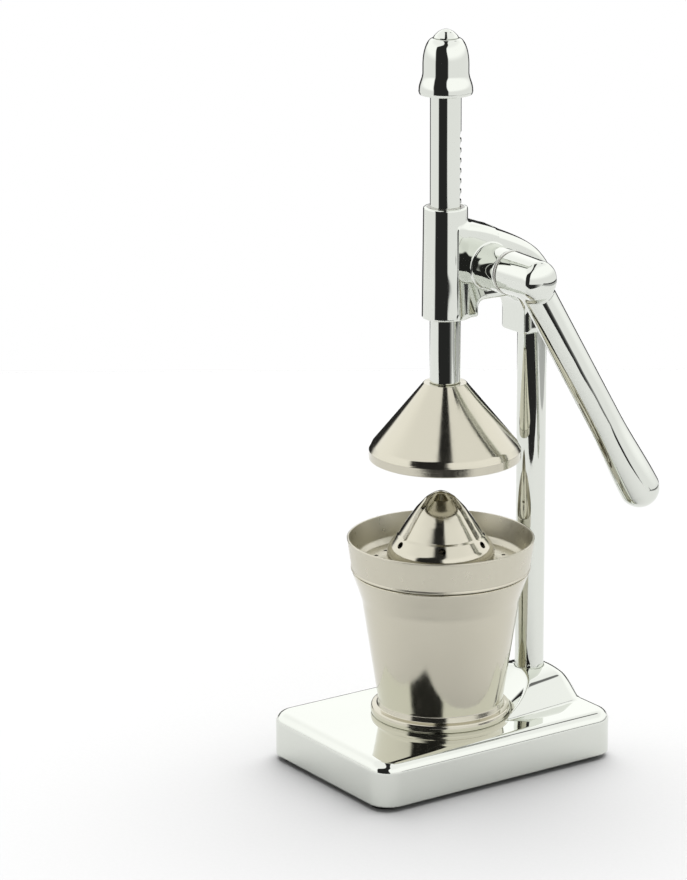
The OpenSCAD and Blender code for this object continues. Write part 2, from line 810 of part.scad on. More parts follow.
module cone_washer() {
    color(steel)
        translate([0, 0, rod_z - 1.6 - cone_washer_t])
            difference() {
                cylinder(h = cone_washer_t, r = cone_screw_r * 2.4);
                translate([0, 0, -1]) cylinder(h = cone_washer_t + 2, r = cone_screw_r + 0.1);
            }
}

module cone_screw() {
    color(steel)
        translate([0, 0, rod_z - 1.6 - cone_washer_t]) {
            translate([0, 0, -cone_head_h]) cylinder(h = cone_head_h, r = cone_screw_r * 1.6);
            translate([0, 0, -0.5]) cylinder(h = cone_screw_l, r = cone_screw_r - fit);
        }
}

// ---- cup and strainer ----

module juice_cup() {
    foot = cup_foot_d / 2;
    low = cup_low_d / 2;
    top = cup_top_d / 2;
    lip = cup_lip_d / 2;
    z0 = cup_z;
    wall = concat(
        [[foot - 0.3, z0], [foot, z0 + 1], [foot, z0 + 4]],
        arc([foot - 1.4, z0 + 4], 1.4, 0, 90, 4),
        [[low + 1.3, z0 + 6.4], [low, cup_low_z], [top, cup_flare_z]],
        [for (i = [1:8]) let (t = i / 8)
            [flare_r(t), cup_flare_z + (cup_flare_h - 0.9) * t]],
        [[lip, cup_lip - 0.5], [lip - 0.4, cup_lip]]);
    inner_low = low - cup_wall;
    inner = concat([[lip - 1.4, cup_lip]],
        [for (i = [8:-1:1]) let (t = i / 8)
            [flare_r(t) - cup_wall, cup_flare_z + 0.3 + (cup_flare_h - 1.4) * t]],
        [[top - cup_wall, cup_flare_z], [inner_low, cup_low_z], [inner_low - 2, cup_floor + 1.4],
            [inner_low - 4, cup_floor + 1.2], [0, cup_floor + 1.2]]);
    under = [[0, cup_floor], [foot - 6, cup_floor], [foot - 4.5, z0]];
    color(steel)
        translate([0, -cup_shift, 0])
            rotate_extrude() polygon(concat(wall, inner, under));
}

module strainer() {
    low = cup_lip_d / 2 + 0.4;
    w = strainer_wall;
    fz = floor_z;
    hole = reamer_foot + seat;
    wall = [[low - 2.2, cup_lip], [low - 0.2, cup_lip], [low + 0.2, cup_lip + 0.8],
        [low, cup_lip + 1.6], [rim_r - 0.2, strainer_top - 1.2], [rim_r, strainer_top - 0.6],
        [rim_r - 0.5, strainer_top], [rim_r - w - 0.2, strainer_top],
        [low - w - 0.4, fz + 4], [low - w - 2.2, fz + w]];
    seat_ring = [[seat_r - w, fz], [seat_r - w, cup_lip - strainer_seat],
        [seat_r, cup_lip - strainer_seat], [seat_r, cup_lip]];
    color(steel)
        translate([0, -cup_shift, 0]) rotate([0, 0, strainer_turn])
            difference() {
                rotate_extrude() polygon(concat(wall, [[hole, fz + w], [hole, fz]], seat_ring));
                for (i = [0:floor_holes - 1])
                    rotate([0, 0, (i + 0.5) * 360 / floor_holes])
                        translate([(skirt_r + low) / 2 - 1.5, 0, fz - 1])
                            cylinder(h = w + 2, r = floor_hole_r);
            }
}

// Side view of a reamer rib, as [radius, height] about the cup axis
module rib_side() {
    polygon([[reamer_r - 5.4, reamer_z - 0.4], [reamer_r + 1, reamer_z - 0.4],
        [reamer_r - 1.2, reamer_z + 3], [22.4, reamer_z + 9], [17, reamer_z + 17],
        [9.4, reamer_top - 3], [1, reamer_top - 0.4], [1, reamer_top - 1.6],
        [8.4, reamer_top - 4.8], [14.6, reamer_z + 15.8], [19.8, reamer_z + 8.3]]);
}

module reamer() {
    w = strainer_wall;
    fz = floor_z;
    skirt_c = [skirt_r - skirt_arc, skirt_z - 0.3];
    skirt = concat([[reamer_foot, fz], [reamer_foot, fz + w], [skirt_r, fz + w + 1.6]],
        arc(skirt_c, skirt_arc, 0, 62, 8));
    cone = [[reamer_r - 2.4, reamer_z + 0.4], [20.5, reamer_z + 8.6], [15.4, reamer_z + 16],
        [9, reamer_top - 4], [4, reamer_top - 1], [0, reamer_top]];
    cone_in = [[0, reamer_top - 2], [3.4, reamer_top - 2.8], [8, reamer_top - 5.6],
        [14, reamer_z + 15.6], [19, reamer_z + 8.2], [reamer_r - 4.2, reamer_z - 1.2]];
    under = concat(arc(skirt_c, skirt_arc - w, 60, 0, 8), [[skirt_r - w, fz]]);
    color(steel)
        translate([0, -cup_shift, 0]) rotate([0, 0, strainer_turn])
            difference() {
                union() {
                    rotate_extrude() polygon(concat(skirt, cone, cone_in, under));
                    for (i = [0:reamer_ribs - 1])
                        rotate([0, 0, 60 + i * 360 / reamer_ribs])
                            rotate([90, 0, 0])
                                translate([0, 0, -rib_t / 2]) linear_extrude(rib_t) rib_side();
                }
                for (i = [0:juice_holes - 1])
                    rotate([0, 0, i * 360 / juice_holes])
                        translate([skirt_c[0], 0, skirt_c[1]])
                            rotate([0, juice_hole_slope, 0])
                                translate([0, 0, skirt_arc - 4])
                                    cylinder(h = 8, r = juice_hole_d / 2);
            }
}

base();
foot_front_left();
foot_front_right();
foot_rear_left();
foot_rear_right();
foot_screws();
column();
column_bolt();
column_washer();
head();
head_set_screws();
upper_guide_bush();
lower_guide_bush();
shaft_bush_right();
shaft_bush_left();
pinion_cover();
cover_screws();
pinion_shaft();
pinion();
pinion_pin();
hub_washer();
lever();
lever_set_screw();
ram_rod();
top_knob();
knob_screw();
press_cone();
cone_washer();
cone_screw();
juice_cup();
strainer();
reamer();
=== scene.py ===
import logging
import math
from collections.abc import Callable
from dataclasses import dataclass, field
from enum import Enum

import bpy
import numpy as np
from mathutils import Matrix, Vector


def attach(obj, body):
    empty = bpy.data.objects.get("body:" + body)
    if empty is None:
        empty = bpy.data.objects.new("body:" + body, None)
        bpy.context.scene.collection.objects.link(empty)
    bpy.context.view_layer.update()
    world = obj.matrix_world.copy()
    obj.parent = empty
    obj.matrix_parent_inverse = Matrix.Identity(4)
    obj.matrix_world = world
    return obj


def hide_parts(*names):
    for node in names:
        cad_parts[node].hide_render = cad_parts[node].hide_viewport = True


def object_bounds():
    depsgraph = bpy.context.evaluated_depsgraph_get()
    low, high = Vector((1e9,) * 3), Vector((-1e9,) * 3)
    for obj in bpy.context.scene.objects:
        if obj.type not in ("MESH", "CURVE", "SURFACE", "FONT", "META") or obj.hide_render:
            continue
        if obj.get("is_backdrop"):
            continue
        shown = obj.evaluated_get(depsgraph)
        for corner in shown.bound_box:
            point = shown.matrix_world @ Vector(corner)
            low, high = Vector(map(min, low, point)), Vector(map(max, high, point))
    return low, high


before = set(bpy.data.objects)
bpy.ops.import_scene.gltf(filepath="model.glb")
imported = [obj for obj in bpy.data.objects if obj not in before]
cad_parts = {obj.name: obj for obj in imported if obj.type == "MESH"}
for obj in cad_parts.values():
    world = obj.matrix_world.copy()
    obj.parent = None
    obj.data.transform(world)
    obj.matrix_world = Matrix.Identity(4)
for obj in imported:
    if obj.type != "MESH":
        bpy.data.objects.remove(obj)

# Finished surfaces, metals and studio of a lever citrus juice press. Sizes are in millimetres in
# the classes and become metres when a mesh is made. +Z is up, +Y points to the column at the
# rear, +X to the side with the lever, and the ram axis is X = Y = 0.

MM = 0.001
TINY = 1e-6
ARC_SHARE = 0.48  # the most of a side that one rounded corner takes
BATCH = 16  # layers of a casting's grid that are worked out at once
LEAST_SLOPE = 0.2  # of a distance field, squared
LONGEST_STEP = 0.7  # of a point on its way to the skin, in millimetres
DEGREE = math.pi / 180
LOG = logging.getLogger("press")

Grid = np.ndarray
Field = Callable[[Grid], Grid]
Socket = bpy.types.NodeSocket
Span = tuple[float, float]
Triple = tuple[float, float, float]
Ramp = tuple[float, float, float, float]


# ---------------------------------------------------------------- profiles and surfaces


@dataclass
class Profile:
    """A path in the (radius, height) plane with its outward normals, in millimetres."""

    at: Grid
    out: Grid

    def dense(self, step: float) -> "Profile":
        """The profile with rows added so that no two are further apart than step.

        Args:
            step: Largest distance between rows.

        Returns:
            The profile with positions and normals shared out along each segment.
        """
        gap = np.linalg.norm(np.diff(self.at, axis=0), axis=1)
        parts = np.maximum(1, np.ceil(gap / step)).astype(int)
        owner = np.repeat(np.arange(len(gap)), parts)
        start = np.cumsum(parts) - parts
        t = ((np.arange(len(owner)) - start[owner]) / parts[owner])[:, None]
        at, out = (np.vstack([v[owner] * (1 - t) + v[owner + 1] * t, v[-1:]])
                   for v in (self.at, self.out))
        return Profile(at, unit(out))


def unit(v: Grid) -> Grid:
    """Vectors along the last axis brought to length one."""
    return v / np.maximum(np.linalg.norm(v, axis=-1, keepdims=True), 1e-12)


def rounded(corners: list[tuple[float, ...]], closed: bool = False, bend: int = 6) -> Profile:
    """A polyline whose corners are arcs tangent to both sides.

    The arc of a corner starts radius x tan(turn / 2) before it. Its direction turns evenly from
    the incoming to the outgoing side, and a point is the arc's centre plus the radius along the
    perpendicular. Material lies on the left of the path, so the normal is on its right.

    Args:
        corners: (radius, height, corner radius) in order; the corner radius may be left out.
        closed: Whether the last corner joins the first.
        bend: Number of steps on each arc.

    Returns:
        The profile.
    """
    pts = np.array([c[:2] for c in corners], float)
    radii = [c[2] if len(c) > 2 else 0.0 for c in corners]
    n = len(pts)
    at, out = [], []
    for i in range(n):
        before, after = pts[i] - pts[i - 1], pts[(i + 1) % n] - pts[i]
        if not closed and i == 0:
            before = after
        if not closed and i == n - 1:
            after = before
        la, lb = np.linalg.norm(before), np.linalg.norm(after)
        d1, d2 = before / la, after / lb
        turn = math.atan2(d1[0] * d2[1] - d1[1] * d2[0], float(d1 @ d2))
        r = radii[i]
        reach = r * math.tan(abs(turn) / 2)
        limit = ARC_SHARE * min(la, lb)
        if reach > limit:
            r, reach = r * limit / reach, limit
        if r < TINY or abs(turn) < 1e-4:
            mid = unit(d1 + d2)
            at.append(pts[i])
            out.append(np.array([mid[1], -mid[0]]))
            continue
        side = math.copysign(1.0, turn)
        left = np.array([-d1[1], d1[0]])
        centre = pts[i] - d1 * reach + side * r * left
        for k in range(bend + 1):
            c, s = math.cos(turn * k / bend), math.sin(turn * k / bend)
            d = np.array([d1[0] * c - d1[1] * s, d1[0] * s + d1[1] * c])
            at.append(centre - side * r * np.array([-d[1], d[0]]))
            out.append(np.array([d[1], -d[0]]))
    if closed:
        at.append(at[0])
        out.append(out[0])
    return Profile(np.array(at), np.array(out))


@dataclass
class Surface:
    """A mesh as arrays: points and normals in millimetres, quads and triangles as indices."""

    points: Grid
    normals: Grid
    quads: Grid
    tris: Grid = field(default_factory=lambda: np.zeros((0, 3), int))
    flat: Grid | None = None

    def count(self) -> int:
        """Number of triangles that the surface makes."""
        return 2 * len(self.quads) + len(self.tris)


def turned(profile: Profile, steps: int = 144, x: float = 0.0, y: float = 0.0) -> Surface:
    """A profile turned about a vertical axis.

    A point is (x + r cos a, y + r sin a, h) for profile row (r, h) and angle a, with a in steps
    even parts of a full turn. A row on the axis becomes one point and a fan of triangles.

    Args:
        profile: Rows from one end to the other; a closed one ends where it starts.
        steps: Number of points round the axis.
        x: Place of the axis.
        y: Place of the axis.

    Returns:
        The surface.
    """
    a = np.arange(steps) * 2 * np.pi / steps
    rows, out = profile.at, profile.out
    closed = bool(np.allclose(rows[0], rows[-1]))
    if closed:
        rows, out = rows[:-1], out[:-1]
    first = not closed and rows[0, 0] < TINY
    last = not closed and rows[-1, 0] < TINY
    body = slice(1 if first else 0, len(rows) - 1 if last else len(rows))
    r, h = rows[body, 0], rows[body, 1]
    nr, nh = out[body, 0], out[body, 1]
    c, s = np.cos(a)[:, None], np.sin(a)[:, None]
    points = np.stack([x + r * c, y + r * s, np.broadcast_to(h, (steps, len(h)))], -1)
    normals = np.stack([nr * c, nr * s, np.broadcast_to(nh, (steps, len(h)))], -1)
    m = len(h)
    i, j = np.meshgrid(np.arange(steps), np.arange(m if closed else m - 1), indexing="ij")
    i2, j2 = (i + 1) % steps, (j + 1) % m
    quads = np.stack([i * m + j, i2 * m + j, i2 * m + j2, i * m + j2], -1).reshape(-1, 4)
    points, normals = points.reshape(-1, 3), normals.reshape(-1, 3)
    tris = np.zeros((0, 3), int)
    ring = np.arange(steps) * m
    after = np.roll(ring, -1)
    fans = ((first, rows[0, 1], -1.0, (after, ring)),
            (last, rows[-1, 1], 1.0, (ring + m - 1, after + m - 1)))
    for wanted, height, up, rim in fans:
        if wanted:
            pole = np.full(steps, len(points))
            points = np.vstack([points, [x, y, height]])
            normals = np.vstack([normals, [0, 0, up]])
            tris = np.vstack([tris, np.stack([pole, *rim], -1)])
    return Surface(points, normals, quads, tris)


# ---------------------------------------------------------------- cast shapes


def both(a: Grid, b: Grid, r: float) -> Grid:
    """Distance to the union of two shapes with a fillet of radius r in the joint.

    Where both distances are under r, it is the greater of r and the nearer distance, less the
    length of the two shortfalls r - a and r - b, which is a round fillet at a right angle.

    Args:
        a: Distances to one shape.
        b: Distances to the other.
        r: The fillet's radius; with 0 the joint is sharp.

    Returns:
        Distances to the union.
    """
    if r <= 0:
        return np.minimum(a, b)
    short = np.hypot(np.maximum(r - a, 0), np.maximum(r - b, 0))
    return np.maximum(r, np.minimum(a, b)) - short


def within(a: Grid, b: Grid, r: float) -> Grid:
    """Distance to the overlap of two shapes with an edge rounded to radius r."""
    return -both(-a, -b, r)


def less(a: Grid, b: Grid, r: float) -> Grid:
    """Distance to shape a without shape b, with the edge rounded to radius r."""
    return within(a, -b, r)


def eased(a: Grid, b: Grid, k: float) -> Grid:
    """Distance to the overlap of two shapes whose skins meet at a flat angle.

    It is the greater distance, and where the two differ by less than k it rises by k / 4 times
    the square of the missing share, which rounds the edge without moving the skins beside it.

    Args:
        a: Distances to one shape.
        b: Distances to the other.
        k: How far from the edge the rounding starts.

    Returns:
        Distances to the overlap.
    """
    near = np.maximum(k - np.abs(a - b), 0.0) / k
    return np.maximum(a, b) + near * near * k / 4


def rod_z(p: Grid, x: float, y: float, r: float) -> Grid:
    """Distance to an endless cylinder along Z."""
    return np.hypot(p[..., 0] - x, p[..., 1] - y) - r


def rod_x(p: Grid, y: float, z: float, r: float) -> Grid:
    """Distance to an endless cylinder along X."""
    return np.hypot(p[..., 1] - y, p[..., 2] - z) - r


def slab(v: Grid, lo: float, hi: float) -> Grid:
    """Distance to the space between two planes."""
    return np.maximum(lo - v, v - hi)


def block(p: Grid, half: Span, middle: Span, r: float) -> Grid:
    """Distance to an endless upright block whose corners seen from above have radius r.

    Args:
        p: Points in millimetres, with X, Y and Z along the last axis.
        half: Half its width and half its length.
        middle: X and Y of its axis.
        r: Radius of the corners.

    Returns:
        Distances in millimetres, negative inside.
    """
    qx = np.abs(p[..., 0] - middle[0]) - (half[0] - r)
    qy = np.abs(p[..., 1] - middle[1]) - (half[1] - r)
    outside = np.hypot(np.maximum(qx, 0), np.maximum(qy, 0))
    return outside + np.minimum(np.maximum(qx, qy), 0) - r


def plane(p: Grid, through: tuple[float, ...], normal: tuple[float, ...]) -> Grid:
    """Signed height above a plane."""
    n = unit(np.array(normal, float))
    return (p - np.array(through, float)) @ n


def slope_of(shape: Field, p: Grid, h: float = 0.02) -> Grid:
    """Gradient of a distance field by central differences over 2h."""
    steps = np.eye(3) * h
    return np.stack([shape(p + s) - shape(p - s) for s in steps], -1) / (2 * h)


def cast(shape: Field, lo: Triple, hi: Triple, step: float) -> Surface:
    """The skin of a solid given by a distance field that is negative inside.

    The field is sampled on a cubic grid. Each cell that the skin crosses gets one point at the
    mean of the crossings on its edges, and each crossed grid edge joins the four cells round it
    with a quad. The points then slide along the gradient, p - f g / g.g, until they lie on the
    skin, and the normals are the gradient there.

    Args:
        shape: The distance field.
        lo: Low corner of a box with room around the solid.
        hi: High corner.
        step: Size of a cell.

    Returns:
        The closed surface.
    """
    lo, hi = np.array(lo, float), np.array(hi, float)
    size = np.ceil((hi - lo) / step).astype(int) + 1
    axes = [lo[k] + step * np.arange(size[k]) for k in range(3)]
    value = np.empty(size)
    for k in range(0, size[0], BATCH):
        part = np.meshgrid(axes[0][k : k + BATCH], axes[1], axes[2], indexing="ij")
        value[k : k + BATCH] = shape(np.stack(part, -1))
    inside = value < 0
    cells = size - 1
    total, hits = np.zeros((*cells, 3)), np.zeros(cells)
    index = np.full(cells, -1)
    edges, quads = [], []
    for ax in range(3):
        a, b = [slice(None)] * 3, [slice(None)] * 3
        a[ax], b[ax] = slice(0, -1), slice(1, None)
        a, b = tuple(a), tuple(b)
        cross = inside[a] != inside[b]
        where = np.argwhere(cross)
        fa, fb = value[a][cross], value[b][cross]
        pos = where.astype(float)
        pos[:, ax] += fa / (fa - fb)
        o1, o2 = [k for k in range(3) if k != ax]
        around = []
        for d1, d2 in ((0, 0), (-1, 0), (-1, -1), (0, -1)):
            cell = where.copy()
            cell[:, o1] += d1
            cell[:, o2] += d2
            around.append(cell)
            flat = np.ravel_multi_index(cell.T, cells)
            np.add.at(total.reshape(-1, 3), flat, pos)
            np.add.at(hits.reshape(-1), flat, 1)
        edges.append((around, fa < 0, ax))
    live = hits > 0
    index[live] = np.arange(int(live.sum()))
    points = lo + step * total[live] / hits[live][:, None]
    for around, starts_inside, ax in edges:
        ids = np.stack([index[tuple(c.T)] for c in around], -1)
        turn = starts_inside if ax != 1 else ~starts_inside
        ids[~turn] = ids[~turn][:, ::-1]
        quads.append(ids)
    faces = np.vstack(quads)
    for _ in range(2):
        points = landed(shape, relaxed(points, faces), 2)
    points = landed(shape, points, 2)
    return Surface(points, unit(slope_of(shape, points)), faces)


def landed(shape: Field, points: Grid, rounds: int) -> Grid:
    """Points moved down the gradient of the field onto its skin.

    Args:
        shape: The distance field.
        points: Points near its skin.
        rounds: Number of moves.

    Returns:
        The moved points.
    """
    for _ in range(rounds):
        g = slope_of(shape, points)
        step = shape(points) / np.maximum((g * g).sum(-1), LEAST_SLOPE)
        points = points - np.clip(step, -LONGEST_STEP, LONGEST_STEP)[:, None] * g
    return points


def relaxed(points: Grid, quads: Grid) -> Grid:
    """Each point moved half way to the mean of its neighbours along quad edges.

    Args:
        points: The points.
        quads: The quads between them, as indices.

    Returns:
        The moved points.
    """
    total, n = np.zeros_like(points), np.zeros(len(points))
    for k in range(4):
        a, b = quads[:, k], quads[:, (k + 1) % 4]
        for s, d in ((a, b), (b, a)):
            total += np.stack([np.bincount(d, points[s, c], len(points)) for c in range(3)], -1)
            n += np.bincount(d, minlength=len(points))
    return points * 0.5 + total / n[:, None] * 0.5


# ---------------------------------------------------------------- objects


def made(name: str, surface: Surface, body: str, slot: str, finish: bpy.types.Material,
         *nodes: str) -> bpy.types.Object:
    """Puts a surface into the scene as a finished piece.

    Args:
        name: Name of the piece.
        surface: Its mesh, in millimetres.
        body: CAD body that it rides on.
        slot: Material slot of the record; not used.
        finish: Its material.
        nodes: CAD nodes that it stands for.

    Returns:
        The object, at the origin, with its own normals.
    """
    mesh = bpy.data.meshes.new(name)
    quads, tris = surface.quads, surface.tris
    loops = np.concatenate([quads.ravel(), tris.ravel()])
    starts = np.concatenate([np.arange(len(quads)) * 4,
                             len(quads) * 4 + np.arange(len(tris)) * 3])
    mesh.vertices.add(len(surface.points))
    mesh.vertices.foreach_set("co", (surface.points * MM).astype(np.float32).ravel())
    mesh.loops.add(len(loops))
    mesh.loops.foreach_set("vertex_index", loops.astype(np.int32))
    mesh.polygons.add(len(starts))
    mesh.polygons.foreach_set("loop_start", starts.astype(np.int32))
    mesh.update(calc_edges=True)
    mesh.validate()
    mesh.polygons.foreach_set("use_smooth", np.ones(len(starts), bool))
    normals = surface.normals[loops].copy()
    if surface.flat is not None:
        own = np.zeros(len(starts) * 3, np.float32)
        mesh.polygons.foreach_get("normal", own)
        hard = np.repeat(surface.flat, 4)
        normals[: len(hard)][hard] = np.repeat(own.reshape(-1, 3)[: len(quads)], 4, axis=0)[hard]
    mesh.normals_split_custom_set(normals.tolist())
    piece = bpy.data.objects.new(name, mesh)
    bpy.context.scene.collection.objects.link(piece)
    mesh.materials.append(finish)
    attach(piece, body)
    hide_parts(*nodes)
    LOG.info("%s: %d triangles", name, surface.count())
    return piece


def dress(name: str, finish: bpy.types.Material) -> None:
    """Gives a carried-over CAD node its finish.

    Args:
        name: The node's name.
        finish: Its material.
    """
    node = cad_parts[name]
    node.data.materials.clear()
    node.data.materials.append(finish)
    LOG.info("%s: carried over", name)


# ---------------------------------------------------------------- finishes


class Tree:
    """A node tree with short ways to add, feed and join nodes."""

    def __init__(self, owner: bpy.types.Material | bpy.types.World) -> None:
        """Empties the node tree of a material or a world.

        Args:
            owner: The material or world.
        """
        owner.use_nodes = True
        self.tree = owner.node_tree
        self.tree.nodes.clear()

    def add(self, kind: str, inputs: dict[int | str, object] | None = None,
            **values: object) -> bpy.types.Node:
        """Adds a node.

        Args:
            kind: Blender's name for the node's type.
            inputs: What its inputs take, by name or number: a value or another node's socket.
            values: The node's own properties.

        Returns:
            The node.
        """
        node = self.tree.nodes.new(kind)
        for key, value in values.items():
            setattr(node, key, value)
        for key, value in (inputs or {}).items():
            if isinstance(value, Socket):
                self.join(value, node.inputs[key])
            else:
                node.inputs[key].default_value = value
        return node

    def join(self, a: Socket, b: Socket) -> None:
        """Links two sockets."""
        self.tree.links.new(a, b)

    def calc(self, op: str, *inputs: Socket | float) -> Socket:
        """A maths node on sockets or numbers. More than two are worked off from the left.

        Args:
            op: Blender's name for the operation.
            inputs: Sockets or numbers.

        Returns:
            The result.
        """
        *first, last = inputs
        if len(first) > 1:
            first = [self.calc(op, *first)]
        return self.add("ShaderNodeMath", dict(enumerate((*first, last))),
                        operation=op).outputs[0]

    def spread(self, value: Socket, lo: Socket | float, hi: Socket | float, to_lo: float = 0.0,
               to_hi: float = 1.0, curve: str = "LINEAR") -> Socket:
        """The value between lo and hi carried to between to_lo and to_hi.

        Args:
            value: The value.
            lo: Where it starts.
            hi: Where it ends.
            to_lo: What lo becomes.
            to_hi: What hi becomes.
            curve: Blender's name for the way between them.

        Returns:
            The result.
        """
        inputs = dict(enumerate((value, lo, hi, to_lo, to_hi)))
        return self.add("ShaderNodeMapRange", inputs, interpolation_type=curve).outputs["Result"]


class Wiring(Tree):
    """The node tree of a new material with one principled shader."""

    def __init__(self, name: str) -> None:
        """Starts the material.

        Args:
            name: The material's name.
        """
        self.material = bpy.data.materials.new(name)
        super().__init__(self.material)
        self.shader = self.add("ShaderNodeBsdfPrincipled")
        self.add("ShaderNodeOutputMaterial", {"Surface": self.shader.outputs["BSDF"]})
        self.place = self.add("ShaderNodeTexCoord").outputs["Object"]

    def scaled(self, x: float, y: float, z: float) -> Socket:
        """Object coordinates with each axis scaled."""
        return self.add("ShaderNodeMapping", {"Vector": self.place,
                                              "Scale": (x, y, z)}).outputs["Vector"]

    def noise(self, where: Socket, scale: float, detail: float = 2.0,
              rough: float = 0.5) -> Socket:
        """A noise value from 0 to 1 at that many waves a metre."""
        return self.add("ShaderNodeTexNoise", {"Vector": where, "Scale": scale, "Detail": detail,
                                               "Roughness": rough}).outputs["Fac"]

    def tint(self, value: Socket, a: tuple[float, ...], b: tuple[float, ...]) -> None:
        """Sets the colour to a where the value is 0, b where it is 1, and between elsewhere."""
        mix = self.add("ShaderNodeMix", {0: value, 6: (*a, 1.0), 7: (*b, 1.0)}, data_type="RGBA")
        self.join(mix.outputs[2], self.shader.inputs["Base Color"])

    def roughen(self, value: Socket, smooth: float, rough: float) -> None:
        """Sets the roughness between two levels by the middle of the value's range."""
        self.join(self.spread(value, 0.3, 0.7, smooth, rough), self.shader.inputs["Roughness"])

    def bump(self, height: Socket, depth: float, strength: float = 1.0) -> None:
        """Relief of that depth in metres on the shader's normal, after any set before.

        Args:
            height: The relief, from 0 to 1.
            depth: Its depth in metres.
            strength: The share of it that counts.
        """
        node = self.add("ShaderNodeBump", {"Strength": strength, "Distance": depth,
                                           "Height": height})
        held = self.shader.inputs["Normal"].links
        if held:
            self.join(held[0].from_socket, node.inputs["Normal"])
        self.join(node.outputs["Normal"], self.shader.inputs["Normal"])

    def turning(self) -> Socket:
        """Coordinates (distance from the Z axis, 0, height), the same all round it.

        Returns:
            (distance from the axis, 0, height).
        """
        parts = self.add("ShaderNodeSeparateXYZ", {0: self.place}).outputs
        flat = self.add("ShaderNodeCombineXYZ", {0: parts[0], 1: parts[1]}).outputs[0]
        away = self.add("ShaderNodeVectorMath", {0: flat}, operation="LENGTH").outputs["Value"]
        return self.add("ShaderNodeCombineXYZ", {0: away, 2: parts[2]}).outputs[0]


@dataclass(frozen=True)
class Metal:
    """A bare or plated metal.

    Its colour drifts from shade to colour, its roughness changes in fine wisps, and relief comes
    from long waves and from grain, which runs round the axis where the metal is spun. Depths of
    wave and grain are in metres, and scales in waves a metre.
    """

    name: str
    colour: Triple
    shade: Triple
    rough: Span
    wave: float = 0.0
    wave_scale: float = 25.0
    grain: float = 0.0
    spun: bool = False
    drift_scale: float = 18.0
    wisp_scale: float = 260.0
    grain_scale: float = 1500.0
    spun_scale: float = 2600.0

    def build(self) -> bpy.types.Material:
        """Builds the metal from noise on object coordinates.

        Returns:
            The material.
        """
        w = Wiring(self.name)
        w.shader.inputs["Metallic"].default_value = 1.0
        w.tint(w.noise(w.place, self.drift_scale, 3.0), self.shade, self.colour)
        w.roughen(w.noise(w.scaled(1.0, 1.0, 0.35), self.wisp_scale, 4.0, 0.6), *self.rough)
        if self.wave > 0:
            w.bump(w.noise(w.place, self.wave_scale, 1.0), self.wave)
        if self.spun:
            w.bump(w.noise(w.turning(), self.spun_scale, 3.0, 0.7), self.grain)
        elif self.grain > 0:
            w.bump(w.noise(w.place, self.grain_scale, 3.0, 0.6), self.grain)
        return w.material


@dataclass(frozen=True)
class Rubber:
    """Black rubber with a fine moulded grain."""

    name: str = "black_rubber"
    pit_scale: float = 900.0
    pit_depth: float = 0.0002

    def build(self) -> bpy.types.Material:
        """Builds the rubber: near black, dull, with fine pits.

        Returns:
            The material.
        """
        w = Wiring(self.name)
        fine = w.noise(w.place, self.pit_scale, 3.0)
        w.tint(fine, (0.012, 0.012, 0.012), (0.03, 0.03, 0.029))
        w.roughen(fine, 0.5, 0.75)
        w.bump(fine, self.pit_depth, 0.5)
        return w.material


class Finish(Enum):
    """Every finish of the press."""

    CAST = Metal("chrome_cast", (0.73, 0.75, 0.70), (0.70, 0.72, 0.67), (0.02, 0.05),
                 wave=0.0006, wave_scale=22.0)
    BAR = Metal("chrome_bar", (0.73, 0.75, 0.70), (0.70, 0.72, 0.67), (0.02, 0.045),
                wave=0.00012, wave_scale=30.0)
    SHEET = Metal("stainless", (0.60, 0.575, 0.48), (0.56, 0.535, 0.44), (0.08, 0.14),
                  grain=0.000012, spun=True)
    SATIN = Metal("satin_sheet", (0.60, 0.575, 0.48), (0.56, 0.535, 0.44), (0.26, 0.36),
                  grain=0.00002, spun=True)
    STEEL = Metal("plain_steel", (0.62, 0.61, 0.58), (0.55, 0.54, 0.51), (0.25, 0.4),
                  grain=0.00002)
    GEAR = Metal("gear_steel", (0.4, 0.39, 0.37), (0.3, 0.29, 0.27), (0.3, 0.45), grain=0.00003)
    BRONZE = Metal("bronze", (0.62, 0.44, 0.24), (0.5, 0.34, 0.18), (0.3, 0.45), grain=0.00003)
    RUBBER = Rubber()


class Store:
    """Builds each finish once."""

    def __init__(self) -> None:
        """Starts with no materials."""
        self.kept: dict[str, bpy.types.Material] = {}

    def __call__(self, finish: Finish) -> bpy.types.Material:
        """The material of a finish."""
        if finish.name not in self.kept:
            self.kept[finish.name] = finish.value.build()
        return self.kept[finish.name]


# ---------------------------------------------------------------- studio


def bearing(azimuth: float, elevation: float) -> Triple:
    """Unit vector to a place that far round from the front and that far up, in degrees."""
    a, e = math.radians(azimuth), math.radians(elevation)
    return math.sin(a) * math.cos(e), -math.cos(a) * math.cos(e), math.sin(e)


